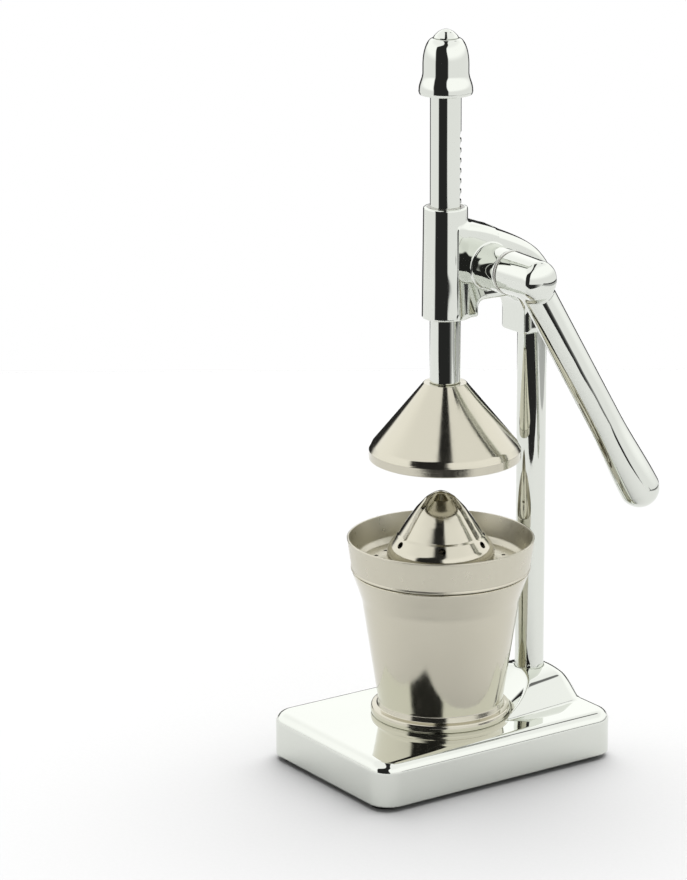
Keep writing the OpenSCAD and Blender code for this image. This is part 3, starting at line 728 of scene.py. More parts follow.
@dataclass
class Room(Tree):
    """What the polished metal reflects: a white room with four dark zones.

    A direction has a part across, to the picture's right, a part ahead, towards the camera, and
    a part up. Its angle from the camera, in degrees, is the arc tangent of across over ahead. A
    span (lo, hi) stands for a smooth step from 0 at lo to 1 at hi, and a ramp (lo, hi, a, b)
    for one from a to b. Ramps of one border are added.
    """

    azimuth: float
    left: tuple[Ramp, ...] = ((0.0, 0.5, -54.0, -60.0), (0.55, 0.86, 0.0, 41.0))
    inner: tuple[Ramp, ...] = ((-0.245, -0.205, 28.0, 7.0), (0.55, 0.86, 0.0, 7.0))
    outer: tuple[Ramp, ...] = ((-0.245, -0.205, 66.0, 13.0), (0.0, 0.5, 0.0, -8.0),
                               (0.55, 0.86, 0.0, 15.0))
    left_blur: float = 3.0
    right_blur: float = 5.0
    strip_up: Span = (0.85, 0.88)
    strip_across: Span = (0.1, 0.14)
    strip_ahead: Span = (-0.42, -0.36)
    rear_angle: Span = (138.0, 150.0)
    rear_up: Span = (0.18, 0.24)
    bar_across: tuple[Span, Span] = ((0.36, 0.39), (0.50, 0.47))
    bar_ahead: tuple[Span, Span] = ((-0.49, -0.46), (-0.31, -0.34))
    bar_up: Ramp = (0.6, 0.7, 0.0, 0.85)
    light: tuple[Ramp, ...] = ((-0.02, 0.21, 1.0, 1.3), (0.5, 0.75, 0.0, -0.14))
    dim: float = 0.025

    def __post_init__(self) -> None:
        """Starts the world."""
        world = bpy.data.worlds.new("studio")
        bpy.context.scene.world = world
        super().__init__(world)

    def step(self, value: Socket, *ends: Socket | float) -> Socket:
        """A smooth step or ramp of the value."""
        return self.spread(value, *ends, curve="SMOOTHSTEP")

    def drop(self, value: Socket, *ends: Socket | float) -> Socket:
        """One less a smooth step of the value."""
        return self.calc("SUBTRACT", 1.0, self.step(value, *ends))

    def total(self, value: Socket, ramps: tuple[Ramp, ...]) -> Socket:
        """The sum of several ramps of the value."""
        return self.calc("ADD", *(self.step(value, *ramp) for ramp in ramps))

    def parts(self) -> list[Socket]:
        """A direction's parts across, ahead and up, by dot products.

        Returns:
            The parts, each the dot product of the direction and an axis.
        """
        way = self.add("ShaderNodeTexCoord").outputs["Generated"]
        c, s = math.cos(math.radians(self.azimuth)), math.sin(math.radians(self.azimuth))
        return [self.add("ShaderNodeVectorMath", {0: way, 1: axis},
                         operation="DOT_PRODUCT").outputs["Value"]
                for axis in ((c, s, 0), (s, -c, 0), (0, 0, 1))]

    def level(self) -> Socket:
        """Brightness: the light where no zone is dark, and dim where one is.

        The opening lies between two angles, which move as the direction rises. The strip is
        overhead, the rear zone is low down behind the press, and the bar is small, high up at
        the right and behind. The light grows a little upwards.

        Returns:
            The strength of the background.
        """
        across, ahead, up = self.parts()
        angle = self.calc("MULTIPLY", self.calc("ARCTAN2", across, ahead), 180 / math.pi)
        left, inner, outer = (self.total(up, r) for r in (self.left, self.inner, self.outer))
        blur = [self.calc(op, left, self.left_blur) for op in ("SUBTRACT", "ADD")]
        inner = self.calc("MINIMUM", inner, self.calc("SUBTRACT", outer, self.right_blur))
        opening = self.calc("MULTIPLY", self.step(angle, *blur), self.drop(angle, inner, outer))
        strip = self.calc("MULTIPLY", self.step(up, *self.strip_up),
                          self.drop(self.calc("ABSOLUTE", across), *self.strip_across),
                          self.step(ahead, *self.strip_ahead))
        rear = self.calc("MULTIPLY", self.step(self.calc("ABSOLUTE", angle), *self.rear_angle),
                         self.drop(up, *self.rear_up))
        bar = self.calc("MULTIPLY", *(self.step(across, *span) for span in self.bar_across),
                        *(self.step(ahead, *span) for span in self.bar_ahead),
                        self.step(up, *self.bar_up))
        dark = self.calc("MAXIMUM", opening, strip, rear, bar)
        light = self.calc("MULTIPLY", self.total(up, self.light),
                          self.calc("SUBTRACT", 1.0, dark))
        return self.calc("ADD", light, self.calc("MULTIPLY", dark, self.dim))

    def build(self) -> None:
        """Fills the world, which is plain white where the camera sees it."""
        white = (1.0, 1.0, 1.0, 1.0)
        seen = self.add("ShaderNodeLightPath").outputs["Is Camera Ray"]
        room = self.add("ShaderNodeBackground", {"Color": white, "Strength": self.level()})
        plain = self.add("ShaderNodeBackground", {"Color": white})
        mix = self.add("ShaderNodeMixShader", {0: seen, 1: room.outputs[0], 2: plain.outputs[0]})
        self.add("ShaderNodeOutputWorld", {"Surface": mix.outputs[0]})


@dataclass
class Studio:
    """Camera, floor, surroundings and lamp. Angles are in degrees, lengths in millimetres.

    The clip and the floor's own sizes are in metres. A pale is the share of light that a sheet
    gives back.
    """

    azimuth: float = 55.9
    elevation: float = 15.88
    roll: float = -0.29
    distance: float = 2292.0
    aim: Triple = (0.0, 0.0, 230.0)
    aim_pixel: Span = (445.0, 403.8)
    frame_size: Span = (687.0, 880.0)
    focal: float = 3728.0
    sensor: float = 36.0
    clip: Span = (0.05, 50.0)
    floor_pale: float = 0.288
    end_pale: float = 0.15
    edge_pale: float = 0.05
    paper_drift: float = 0.02
    paper_rough: float = 0.9
    paper_gloss: float = 0.1
    lamp_energy: float = 9.2
    lamp_width: float = 80.0
    lamp_turn: float = 164.0
    lamp_rise: float = 60.0

    def axes(self) -> tuple[Grid, Grid, Grid]:
        """Unit vectors to the picture's right, to its top and back to the camera.

        Returns:
            The three vectors.
        """
        a, t = math.radians(self.azimuth), math.radians(self.roll)
        back = np.array(bearing(self.azimuth, self.elevation))
        level = np.array([math.cos(a), math.sin(a), 0.0])
        up = np.cross(back, level)
        right = math.cos(t) * level + math.sin(t) * up
        return right, math.cos(t) * up - math.sin(t) * level, back

    def camera(self) -> None:
        """Creates the camera at the photograph's place."""
        right, up, back = self.axes()
        across = (self.aim_pixel[0] - self.frame_size[0] / 2) * self.distance / self.focal
        above = (self.frame_size[1] / 2 - self.aim_pixel[1]) * self.distance / self.focal
        at = np.array(self.aim) + back * self.distance - across * right - above * up
        data = bpy.data.cameras.new("camera")
        data.sensor_fit = "AUTO"
        data.sensor_width = self.sensor
        data.lens = self.sensor * self.focal / max(self.frame_size)
        data.clip_start, data.clip_end = self.clip
        view = bpy.data.objects.new("camera", data)
        turn = Matrix(np.stack([right, up, back], 1).tolist()).to_4x4()
        view.matrix_world = Matrix.Translation(Vector((at * MM).tolist())) @ turn
        bpy.context.scene.collection.objects.link(view)
        bpy.context.scene.camera = view

    def sheet(self, name: str, corners: list[Triple], pale: float, seen: bool = True) -> None:
        """Adds a flat stage piece.

        Args:
            name: Its name.
            corners: (right, towards the camera, up) of its corners, in metres.
            pale: Share of light that it gives back.
            seen: Whether the camera sees it, or only the polished metal does.
        """
        a = math.radians(self.azimuth)
        turn = np.array([[math.cos(a), math.sin(a), 0], [math.sin(a), -math.cos(a), 0],
                         [0, 0, 1]])
        mesh = bpy.data.meshes.new(name)
        mesh.from_pydata((np.array(corners) @ turn).tolist(), [], [tuple(range(len(corners)))])
        piece = bpy.data.objects.new(name, mesh)
        piece.visible_camera = seen
        bpy.context.scene.collection.objects.link(piece)
        w = Wiring(f"{name}_paper")
        w.tint(w.noise(w.place, 400.0), *((pale * (1 + way * self.paper_drift),) * 3
                                          for way in (-1, 1)))
        w.shader.inputs["Roughness"].default_value = self.paper_rough
        w.shader.inputs["Specular IOR Level"].default_value = self.paper_gloss
        mesh.materials.append(w.material)
        piece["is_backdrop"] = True

    def floor(self, left: float = 1.4, right: float = 0.85, front: float = 0.6,
              rear: float = 0.95, end: float = 1.1, rise: float = 0.058) -> None:
        """A pale sheet on the table, with the table's darker end and low edge on the right.

        Args:
            left: The sheet's left edge.
            right: Its right edge, where the end of the table begins.
            front: Its edge towards the camera.
            rear: Its far edge.
            end: The outer edge of the table.
            rise: Height of the low edge there.
        """
        self.sheet("floor", [(-left, front, 0), (right, front, 0), (right, -rear, 0),
                             (-left, -rear, 0)], self.floor_pale)
        self.sheet("table_end", [(right, front, 0), (end, front, 0), (end, -rear, 0),
                                 (right, -rear, 0)], self.end_pale, seen=False)
        self.sheet("table_edge", [(end, front, 0), (end, -rear, 0), (end, -rear, rise),
                                  (end, front, rise)], self.edge_pale, seen=False)

    def lamp(self) -> None:
        """A broad soft lamp high behind the press, so that its shadow falls to the front."""
        data = bpy.data.lights.new("soft_lamp", "SUN")
        data.energy = self.lamp_energy
        data.angle = math.radians(self.lamp_width)
        lamp = bpy.data.objects.new("soft_lamp", data)
        back = Vector(bearing(self.azimuth + self.lamp_turn, self.lamp_rise))
        lamp.rotation_euler = back.to_track_quat("Z", "Y").to_euler()
        lamp.visible_glossy = False
        bpy.context.scene.collection.objects.link(lamp)

    def build(self) -> None:
        """Makes the whole studio."""
        self.camera()
        self.floor()
        Room(self.azimuth).build()
        self.lamp()
        bpy.context.scene.view_settings.view_transform = "Standard"


# ---------------------------------------------------------------- base and column


@dataclass
class BaseCasting:
    """Hollow base block with the pedestal and its cradle."""

    width: float = 127.0
    length: float = 180.0
    rear: float = 88.5
    low: float = 3.0
    top: float = 31.0
    edge: float = 7.0
    corner: float = 14.0
    wall: float = 4.0
    cup_shift: float = 3.0
    cradle: float = 44.8
    cradle_wall: float = 2.0
    slope_at: Span = (36.3, 64.0)
    slope_way: Triple = (0.68, 0.06, 0.73)
    back_inset: float = 1.4
    back_lean: float = 0.06
    front: float = 12.0
    root: float = 12.0
    pedestal_top: float = 48.0
    crown_r: float = 65.3
    column_y: float = 66.5
    column_r: float = 9.2
    seat_z: float = 20.0
    rib: Span = (1.5, 14.0)
    play: float = 0.06
    foot_x: float = 48.0
    foot_y: Span = (-80.0, 77.0)
    foot_r: float = 8.5
    foot_h: float = 3.0

    def pedestal(self, p: Grid) -> Grid:
        """Distance to the raised rear part: two sloping sides under a crowned top.

        It is the eased overlap of the space inside the two side slopes, under the crown, which
        is a round lying along Y, and ahead of the rear wall. The cup's cradle is taken out: an
        upright round below, and above it a cone that widens by one for each one up.

        Args:
            p: Points in millimetres, with X, Y and Z along the last axis.

        Returns:
            Distances in millimetres, negative inside.
        """
        q = p.copy()
        q[..., 0] = np.abs(q[..., 0])
        z = q[..., 2]
        side = plane(q, (*self.slope_at, self.top), self.slope_way)
        crown = np.hypot(q[..., 0], z - self.pedestal_top + self.crown_r) - self.crown_r
        back = plane(q, (0.0, self.rear - self.back_inset, self.top), (0.0, 1.0, self.back_lean))
        shape = within(eased(side, crown, 2.5), back, 12.0)
        shape = np.maximum(shape, np.maximum(self.top - self.root - z, self.front - q[..., 1]))
        away = rod_z(p, 0.0, -self.cup_shift, self.cradle)
        flare = (away - (z - self.top - self.cradle_wall)) * math.sqrt(0.5)
        return less(shape, np.minimum(away, flare), 1.4)

    def shape(self, p: Grid) -> Grid:
        """Distance to the casting: block and pedestal, less the hollow and the column's bore.

        The hollow leaves four screw posts, a rib along each pair of them and the column's socket.

        Args:
            p: Points in millimetres, with X, Y and Z along the last axis.

        Returns:
            Distances in millimetres, negative inside.
        """
        z = p[..., 2]
        middle = (0.0, self.rear - self.length / 2)
        half = (self.width / 2, self.length / 2)
        outline = block(p, half, middle, self.corner)
        body = within(outline, z - self.top, self.edge)
        body = within(body, self.low - z, 0.6)
        body = both(body, self.pedestal(p), 1.0)
        inner = block(p, (half[0] - self.wall, half[1] - self.wall), middle,
                      self.corner - self.wall)
        hollow = within(inner, z - (self.top - self.wall), 3.0)
        q = np.abs(p[..., 0]) - self.foot_x
        posts = np.minimum(*(np.hypot(q, p[..., 1] - y) - self.foot_r for y in self.foot_y))
        ribs = np.maximum(np.abs(q) - self.rib[0], self.top - self.rib[1] - z)
        ribs = np.maximum(ribs, slab(p[..., 1], *self.foot_y))
        socket = np.maximum(rod_z(p, 0, self.column_y, self.column_r + 5.0),
                            self.seat_z - 8.0 - z)
        hollow = less(hollow, both(posts, both(ribs, socket, 1.0), 1.0), 1.0)
        body = less(body, hollow, 0.6)
        bore = np.maximum(rod_z(p, 0, self.column_y, self.column_r + self.play), self.seat_z - z)
        return less(body, bore, 0.5)

    def feet(self) -> list[Surface]:
        """Four short rubber feet with a recess for the screw head.

        Returns:
            The front and rear feet on the left, then those on the right.
        """
        r, h = self.foot_r, self.foot_h
        profile = rounded([
            (0, 1.8), (4.6, 1.8, 0.2), (4.6, 0, 0.2), (r - 0.8, 0, 0.5), (r, h, 0.3), (0, h),
        ])
        return [turned(profile, 48, x, y) for x in (-self.foot_x, self.foot_x)
                for y in self.foot_y]

    def build(self, store: Store) -> None:
        """Makes the casting and its feet.

        Args:
            store: Where the finishes come from.
        """
        skin = cast(self.shape, lo=(-65, -93, 1.5), hi=(65, 90.5, 50), step=1.05)
        made("base_casting", skin, "frame", "chrome_cast", store(Finish.CAST), "base")
        names = ("foot_front_left", "foot_rear_left", "foot_front_right", "foot_rear_right")
        for name, surface in zip(names, self.feet()):
            made(f"rubber_{name}", surface, "frame", "black_rubber", store(Finish.RUBBER), name)


@dataclass
class Column:
    """Round bar between base and head."""

    y: float = 66.5
    r: float = 9.2
    low: float = 20.0
    high: float = 296.3

    def build(self, store: Store) -> None:
        """Makes the bar.

        Args:
            store: Where the finishes come from.
        """
        profile = rounded([(0, self.low), (self.r, self.low, 0.6), (self.r, self.high, 0.6),
                           (0, self.high)])
        made("column_bar", turned(profile.dense(4.0), 96, y=self.y), "frame", "chrome_bar",
             store(Finish.BAR), "column")


# ---------------------------------------------------------------- head


@dataclass
class HeadCasting:
    """Guide sleeve, arm with its arch, column socket and shaft boss in one casting."""

    sleeve: Span = (285.0, 354.0)
    sleeve_r: Span = (14.4, 13.6)
    bore_r: float = 10.3
    arm_half: float = 14.0
    arm_top: float = 346.0
    arm_crown: float = 1.3
    arm_crown_r: float = 44.0
    top_fall: float = 0.07
    knee: Span = (54.0, 328.0)
    knee_fall: float = 0.425
    rear_centre: Span = (14.71, 273.12)
    rear_r: float = 67.5
    rear_from: float = 30.0
    rear_slack: float = 8.0
    web_y: float = 16.5
    arch_z: float = 295.0
    arch_r: Span = (4.0, 14.0)
    socket_z: float = 268.3
    socket_front: float = 51.7
    socket_depth: float = 28.0
    play: float = 0.06
    grub_z: Span = (8.0, 20.0)
    grub_r: float = 3.05
    column_y: float = 66.5
    column_r: float = 9.2
    shaft: Span = (23.5, 316.5)
    boss_r: float = 13.9
    boss_end: float = 35.5
    shaft_r: float = 8.0
    chamber_r: float = 18.6
    chamber_end: float = 8.0
    pad_rim: float = 5.4

    def arm(self, p: Grid) -> Grid:
        """Distance to the arm: its side outline, its round plan at the rear and its edges.

        The outline lies under two falling planes and a round at the rear, all crowned by
        x squared over twice arm_crown_r, and over the arch, which has a quarter round at each
        upper corner.

        Args:
            p: Points in millimetres, with X, Y and Z along the last axis.

        Returns:
            Distances in millimetres, negative inside.
        """
        y, z = p[..., 1], p[..., 2]
        flat = plane(p, (0, 0, self.arm_top), (0, self.top_fall, 1.0))
        fall = plane(p, (0, *self.knee), (0, self.knee_fall, 1.0))
        rear = np.hypot(y - self.rear_centre[0], z - self.rear_centre[1]) - self.rear_r
        rear = np.where(y > self.rear_from, rear, rear - self.rear_slack)
        above = eased(eased(flat, fall, 6.0), rear, 4.0)
        above += p[..., 0] ** 2 / (2.0 * self.arm_crown_r) - self.arm_crown
        arch = np.maximum(np.maximum(z - self.arch_z, self.web_y - y), y - self.socket_front)
        for end, r, way in ((self.web_y, self.arch_r[0], -1.0),
                            (self.socket_front, self.arch_r[1], 1.0)):
            off_y, off_z = y - (end - way * r), z - (self.arch_z - r)
            quarter = (off_y * way > 0) & (off_z > 0)
            arch = np.where(quarter, np.maximum(np.hypot(off_y, off_z) - r, arch), arch)
        low = np.where(y < (self.web_y + self.socket_front) / 2, self.sleeve[0], self.socket_z)
        outline = less(np.maximum(above, low - z), arch, 1.6)
        x = np.abs(p[..., 0])
        round_rear = np.hypot(x, y - self.column_y) - self.arm_half
        plan = np.where(y > self.column_y, round_rear, np.maximum(x - self.arm_half, -y))
        return within(outline, plan, 4.0)

    def shape(self, p: Grid) -> Grid:
        """Distance to the casting: sleeve, arm, boss and cover pad, less every bore.

        Args:
            p: Points in millimetres, with X, Y and Z along the last axis.

        Returns:
            Distances in millimetres, negative inside.
        """
        z = p[..., 2]
        share = (z - self.sleeve[0]) / (self.sleeve[1] - self.sleeve[0])
        r = self.sleeve_r[0] + (self.sleeve_r[1] - self.sleeve_r[0]) * share
        sleeve = within(np.hypot(p[..., 0], p[..., 1]) - r, slab(z, *self.sleeve), 0.9)
        boss = within(rod_x(p, *self.shaft, self.boss_r),
                      slab(p[..., 0], 0.0, self.boss_end), 0.8)
        pad = within(rod_x(p, *self.shaft, self.chamber_r + self.pad_rim),
                     slab(p[..., 0], -self.arm_half, 0.0), 0.6)
        pad = np.maximum(pad, self.arch_z + 1.0 - z)
        body = both(sleeve, self.arm(p), 2.0)
        body = both(body, boss, 1.4)
        body = both(body, pad, 1.2)
        body = less(body, rod_z(p, 0, 0, self.bore_r), 0.5)
        chamber = np.maximum(rod_x(p, *self.shaft, self.chamber_r),
                             slab(p[..., 0], -self.arm_half - 9.0, self.chamber_end))
        body = less(body, chamber, 0.4)
        shaft = np.maximum(rod_x(p, *self.shaft, self.shaft_r), -p[..., 0])
        body = less(body, shaft, 0.3)
        socket = np.maximum(rod_z(p, 0, self.column_y, self.column_r + self.play),
                            z - self.socket_z - self.socket_depth)
        body = less(body, socket, 0.5)
        for h in self.grub_z:
            hole = np.hypot(p[..., 0], z - self.socket_z - h) - self.grub_r
            hole = np.maximum(hole, self.column_y + self.column_r - 2.0 - p[..., 1])
            body = less(body, hole, 0.3)
        return body

    def build(self, store: Store) -> None:
        """Makes the head."""
        skin = cast(self.shape, lo=(-16, -16, 266), hi=(37.5, 83, 356), step=0.8)
        made("head_casting", skin, "frame", "chrome_cast", store(Finish.CAST), "head")


# ---------------------------------------------------------------- lever


@dataclass
class Lever:
    """Hub with a domed end and the tapering bar with its bulb."""

    shaft: Span = (23.5, 316.5)
    hub: Span = (36.8, 65.8)
    hub_r: Span = (13.4, 12.2)
    dome: float = 4.0
    middle: float = 53.8
    length: float = 156.5
    back: float = 27.2
    out: float = 7.35
    bar_r: float = 10.2
    bar_growth: float = 0.45
    bar_root: float = 2.0
    flare_from: float = 106.0
    bulb_r: float = 12.6
    bore_r: float = 6.05
    bore_end: float = 3.8
    screw_r: float = 3.05

    def way(self) -> Grid:
        """Unit vector from the hub to the bulb."""
        o, b = math.radians(self.out), math.radians(self.back)
        return np.array([math.sin(o), math.cos(o) * math.sin(b), -math.cos(o) * math.cos(b)])

    def bar(self, p: Grid) -> Grid:
        """Distance to the bar: its radius grows slowly, then flares to the bulb.

        The flare is a smooth step, 3 t squared less 2 t cubed, over the share t of its length.

        Args:
            p: Points in millimetres, with X, Y and Z along the last axis.

        Returns:
            Distances in millimetres, negative inside.
        """
        start = np.array([self.middle, *self.shaft])
        q = p - start
        s = q @ self.way()
        away = np.linalg.norm(q - s[..., None] * self.way(), axis=-1)
        t = np.clip((s - self.flare_from) / (self.length - self.flare_from), 0, 1)
        flare = self.bulb_r - self.bar_r - self.bar_growth
        slow = self.bar_growth * np.clip(s / self.length, 0, 1)
        r = self.bar_r + slow + flare * t * t * (3 - 2 * t)
        ball = np.linalg.norm(q - self.length * self.way(), axis=-1) - self.bulb_r
        return np.where(s > self.length, ball, np.maximum(away - r, -s - self.bar_root))

    def shape(self, p: Grid) -> Grid:
        """Distance to the lever: a tapering hub capped by part of a ball, and the bar.

        Args:
            p: Points in millimetres, with X, Y and Z along the last axis.

        Returns:
            Distances in millimetres, negative inside.
        """
        x = p[..., 0]
        share = (x - self.hub[0]) / (self.hub[1] - self.hub[0])
        r = self.hub_r[0] + (self.hub_r[1] - self.hub_r[0]) * share
        away = np.hypot(p[..., 1] - self.shaft[0], p[..., 2] - self.shaft[1])
        cap_r = (self.hub_r[1] ** 2 + self.dome**2) / (2 * self.dome)
        cap_x = self.hub[1] + self.dome - cap_r
        cap = np.where(x > cap_x, np.hypot(x - cap_x, away), away) - cap_r
        hub = within(within(away - r, self.hub[0] - x, 0.8), cap, 2.0)
        body = both(hub, self.bar(p), 2.5)
        body = np.maximum(body, self.hub[0] - x)
        bore = np.maximum(away - self.bore_r, x - self.hub[1] + self.bore_end)
        body = less(body, bore, 0.3)
        screw = np.hypot(x - self.middle, p[..., 2] - self.shaft[1]) - self.screw_r
        screw = np.maximum(screw, self.shaft[0] - p[..., 1])
        return less(body, screw, 0.4)

    def build(self, store: Store) -> None:
        """Makes the lever."""
        skin = cast(self.shape, lo=(35, 7, 162), hi=(89, 110, 332), step=0.8)
        made("lever_casting", skin, "lever", "chrome_cast", store(Finish.CAST), "lever")


# ---------------------------------------------------------------- ram


@dataclass
class Ram:
    """Rod with its rack, knob, finial and press cone.

    The rack has teeth of 20 degrees whose pitch is pi times the module. line is the Y of its
    pitch line, first the height of its lowest gap, and trim the Y of its tips.
    """

    r: float = 9.5
    low: float = 244.0
    high: float = 440.0
    steps: int = 144
    plain: tuple[Span, Span] = ((250.0, 284.0), (404.0, 438.0))
    row_step: float = 4.0
    hair: float = 0.02
    flank_hair: float = 0.12
    least_sine: float = 0.2
    chamfer: float = 0.8
    runout: float = 1.1
    slant: float = math.tan(math.radians(20))
    root_depth: float = 1.25
    gaps: int = 19
    module: float = 2.0
    line: float = 7.5
    first: float = 285.084
    trim: float = 9.3
    knob_z: float = 423.0
    knob_top: float = 457.0
    waist_r: float = 14.1
    rim_r: float = 16.4
    crown_r: float = 7.8
    cone_z: float = 196.0

    @property
    def pitch(self) -> float:
        """Distance from tooth to tooth."""
        return math.pi * self.module

    def ends(self) -> Span:
        """Heights where the rack's cut begins and ends."""
        last = self.first + (self.gaps - 1) * self.pitch
        return (self.first - self.pitch / 4 - self.runout, last + self.pitch / 4 + self.runout)

    def cut(self, z: Grid) -> Grid:
        """Furthest Y of the rod at a height: tooth tips, slanting flanks and roots.

        Args:
            z: Heights.

        Returns:
            The Y there, which is outside the rod where nothing is cut.
        """
        k = np.clip(np.round((z - self.first) / self.pitch), 0, self.gaps - 1)
        off = np.abs(z - self.first - k * self.pitch)
        flank = self.line + (off - self.pitch / 4) / self.slant
        y = np.clip(flank, self.line - self.root_depth * self.module, self.trim)
        low, high = self.ends()
        return np.where((z < low) | (z > high), self.r + 1, y)

    def rod(self) -> Surface:
        """The rod as a grid over angle and height.

        The radius is r, or the cut's Y over the sine of the angle where that is less on the
        rear side, and it shrinks along an arc at both ends. Rows of the grid lie in pairs, a
        hair apart, at each edge of the teeth.

        Returns:
            The surface.
        """
        root = self.pitch / 4 - self.root_depth * self.module * self.slant
        tip = self.pitch / 4 + (self.trim - self.line) * self.slant
        mids = self.first + self.pitch * np.arange(self.gaps)
        marks = (root, root - self.flank_hair, tip, tip + self.flank_hair)
        rows = [mids + s * m for m in marks for s in (-1, 1)]
        rows += [np.array(self.ends()) + s * self.hair for s in (-1, 1)]
        rows += [np.arange(*span, self.row_step) for span in self.plain]
        bend = np.radians(np.arange(0, 91, 15))
        sink = self.chamfer * (1 - np.cos(bend))
        neck = self.r - self.chamfer + self.chamfer * np.sin(bend)
        z = np.concatenate([[self.low], self.low + sink, [self.low + self.runout],
                            np.sort(np.concatenate(rows)), [self.high - self.runout],
                            (self.high - sink)[::-1], [self.high]])
        radius = np.full(len(z), self.r)
        radius[0] = radius[-1] = 0.0
        radius[1 : 1 + len(bend)] = neck
        radius[-1 - len(bend) : -1] = neck[::-1]
        surface = turned(Profile(np.stack([radius, z], -1), np.tile([1.0, 0.0], (len(z), 1))),
                         self.steps)
        pts = surface.points
        reach = np.hypot(pts[:, 0], pts[:, 1])
        side = np.sin(np.arctan2(pts[:, 1], pts[:, 0]))
        limit = self.cut(pts[:, 2]) / np.maximum(side, self.least_sine)
        limit = np.where(side > self.least_sine, limit, np.inf)
        scale = np.where(reach > TINY, np.minimum(limit, reach) / np.maximum(reach, TINY), 1.0)
        pts[:, :2] *= scale[:, None]
        return surface

    def knob(self) -> Surface:
        """Bell-shaped knob over the rod's upper end.

        From the rim up to the waist the radius follows half a cosine wave, and the crown is a
        quarter of an ellipse, 6.3 wide and 16 high, that leans in to the finial.

        Returns:
            The surface.
        """
        z, t = self.knob_z, self.knob_top
        up = np.linspace(0.0, 1.0, 15)
        flare = self.waist_r + (self.rim_r - self.waist_r) * (1 + np.cos(np.pi * up)) / 2
        turn = np.radians(np.arange(0.0, 84.1, 7.0))
        corners = [(0, self.high + 0.05), (self.r + 0.03, self.high + 0.05, 0.2),
                   (self.r + 0.03, z, 0.3), (15.9, z, 0.7), (16.5, z + 1.8, 1.2)]
        corners += zip(flare, z + 3.0 + 10.5 * up)
        corners += zip(self.crown_r + (self.waist_r - self.crown_r) * np.cos(turn),
                       z + 18.0 + 16.0 * np.sin(turn))
        corners += [(7.4, t - 0.1, 0.2), (0, t - 0.1)]
        return turned(rounded(corners, bend=10).dense(1.2), 128)

    def finial(self) -> Surface:
        """Domed screw head on the knob.

        Returns:
            The surface.
        """
        t = self.knob_top
        profile = rounded([
            (0, 429.0), (3.95, 429.0, 0.4), (3.95, t, 0.1), (7.5, t, 0.2),
            (7.65, t + 0.6, 0.3), (6.9, t + 1.7, 1.2), (4.6, t + 3.9, 6.0), (1.9, t + 5.2, 3.0),
            (0, t + 5.4),
        ], bend=10)
        return turned(profile, 96)

    def cone(self) -> Surface:
        """Spun press cone with its straight rim band.

        Returns:
            The surface.
        """
        z = self.cone_z
        profile = rounded([
            (0, z + 46.4), (12.6, z + 46.4, 1.5), (43.3, z + 8.9, 5.0), (45.6, z + 5.6, 2.0),
            (45.6, z, 0.4), (47.0, z, 0.5), (47.0, z + 5.5, 0.5), (46.5, z + 6.4, 0.4),
            (45.0, z + 9.4, 5.0), (13.2, z + 48.0, 0.7), (0, z + 48.0),
        ], bend=8)
        return turned(profile.dense(2.0), 192)

    def build(self, store: Store) -> None:
        """Makes the ram's pieces.

        Args:
            store: Where the finishes come from.
        """
        bar, sheet = store(Finish.BAR), store(Finish.SHEET)
        rod = made("rack_rod", self.rod(), "ram", "chrome_bar", bar, "ram_rod")
        rod.data.attributes.remove(rod.data.attributes["custom_normal"])
        rod.data.set_sharp_from_angle(angle=math.radians(18))
        made("bell_knob", self.knob(), "ram", "chrome_bar", bar, "top_knob")
        made("knob_finial", self.finial(), "ram", "chrome_bar", bar, "knob_screw")
        made("spun_cone", self.cone(), "ram", "stainless", sheet, "press_cone")


# ---------------------------------------------------------------- cup and strainer


@dataclass
class Cup:
    """Juice cup of spun sheet with a rolled foot and a flared lip."""

    y: float = -3.0
    z: float = 31.0

    def build(self, store: Store) -> None:
        """Makes the cup.

        Args:
            store: Where the finishes come from.
        """
        z = self.z
        profile = rounded([
            (0, z + 3.4), (37.7, z + 3.4, 1.0), (39.4, z, 0.8), (43.5, z, 0.8),
            (43.9, z + 2.6, 3.0), (43.4, z + 4.9, 1.2), (40.0, z + 5.5, 0.5),
            (39.2, z + 9.0, 4.0), (49.1, z + 74.6, 20.0),
            (52.0, z + 83.5, 14.0), (54.9, z + 91.6, 6.0), (55.3, z + 93.0, 0.5),
            (54.6, z + 93.5, 0.4), (53.9, z + 93.1, 0.4), (50.9, z + 83.6, 14.0),
            (47.9, z + 74.6, 20.0), (38.1, z + 10.0, 6.0), (36.0, z + 4.8, 2.4),
            (32.0, z + 4.6, 1.0), (0, z + 4.6),
        ], bend=8)
        made("spun_cup", turned(profile.dense(2.5), 192, y=self.y), "cup", "stainless",
             store(Finish.SHEET), "juice_cup")


def border(wide: int, high: int) -> tuple[Grid, Grid]:
    """Columns and rows of the points round a window, from its low left corner and back."""
    u, v = np.arange(-wide, wide), np.arange(-high, high)
    return (np.concatenate([u, np.full(2 * high, wide), -u, np.full(2 * high, -wide)]),
            np.concatenate([np.full(2 * wide, -high), v, np.full(2 * wide, high), -v]))


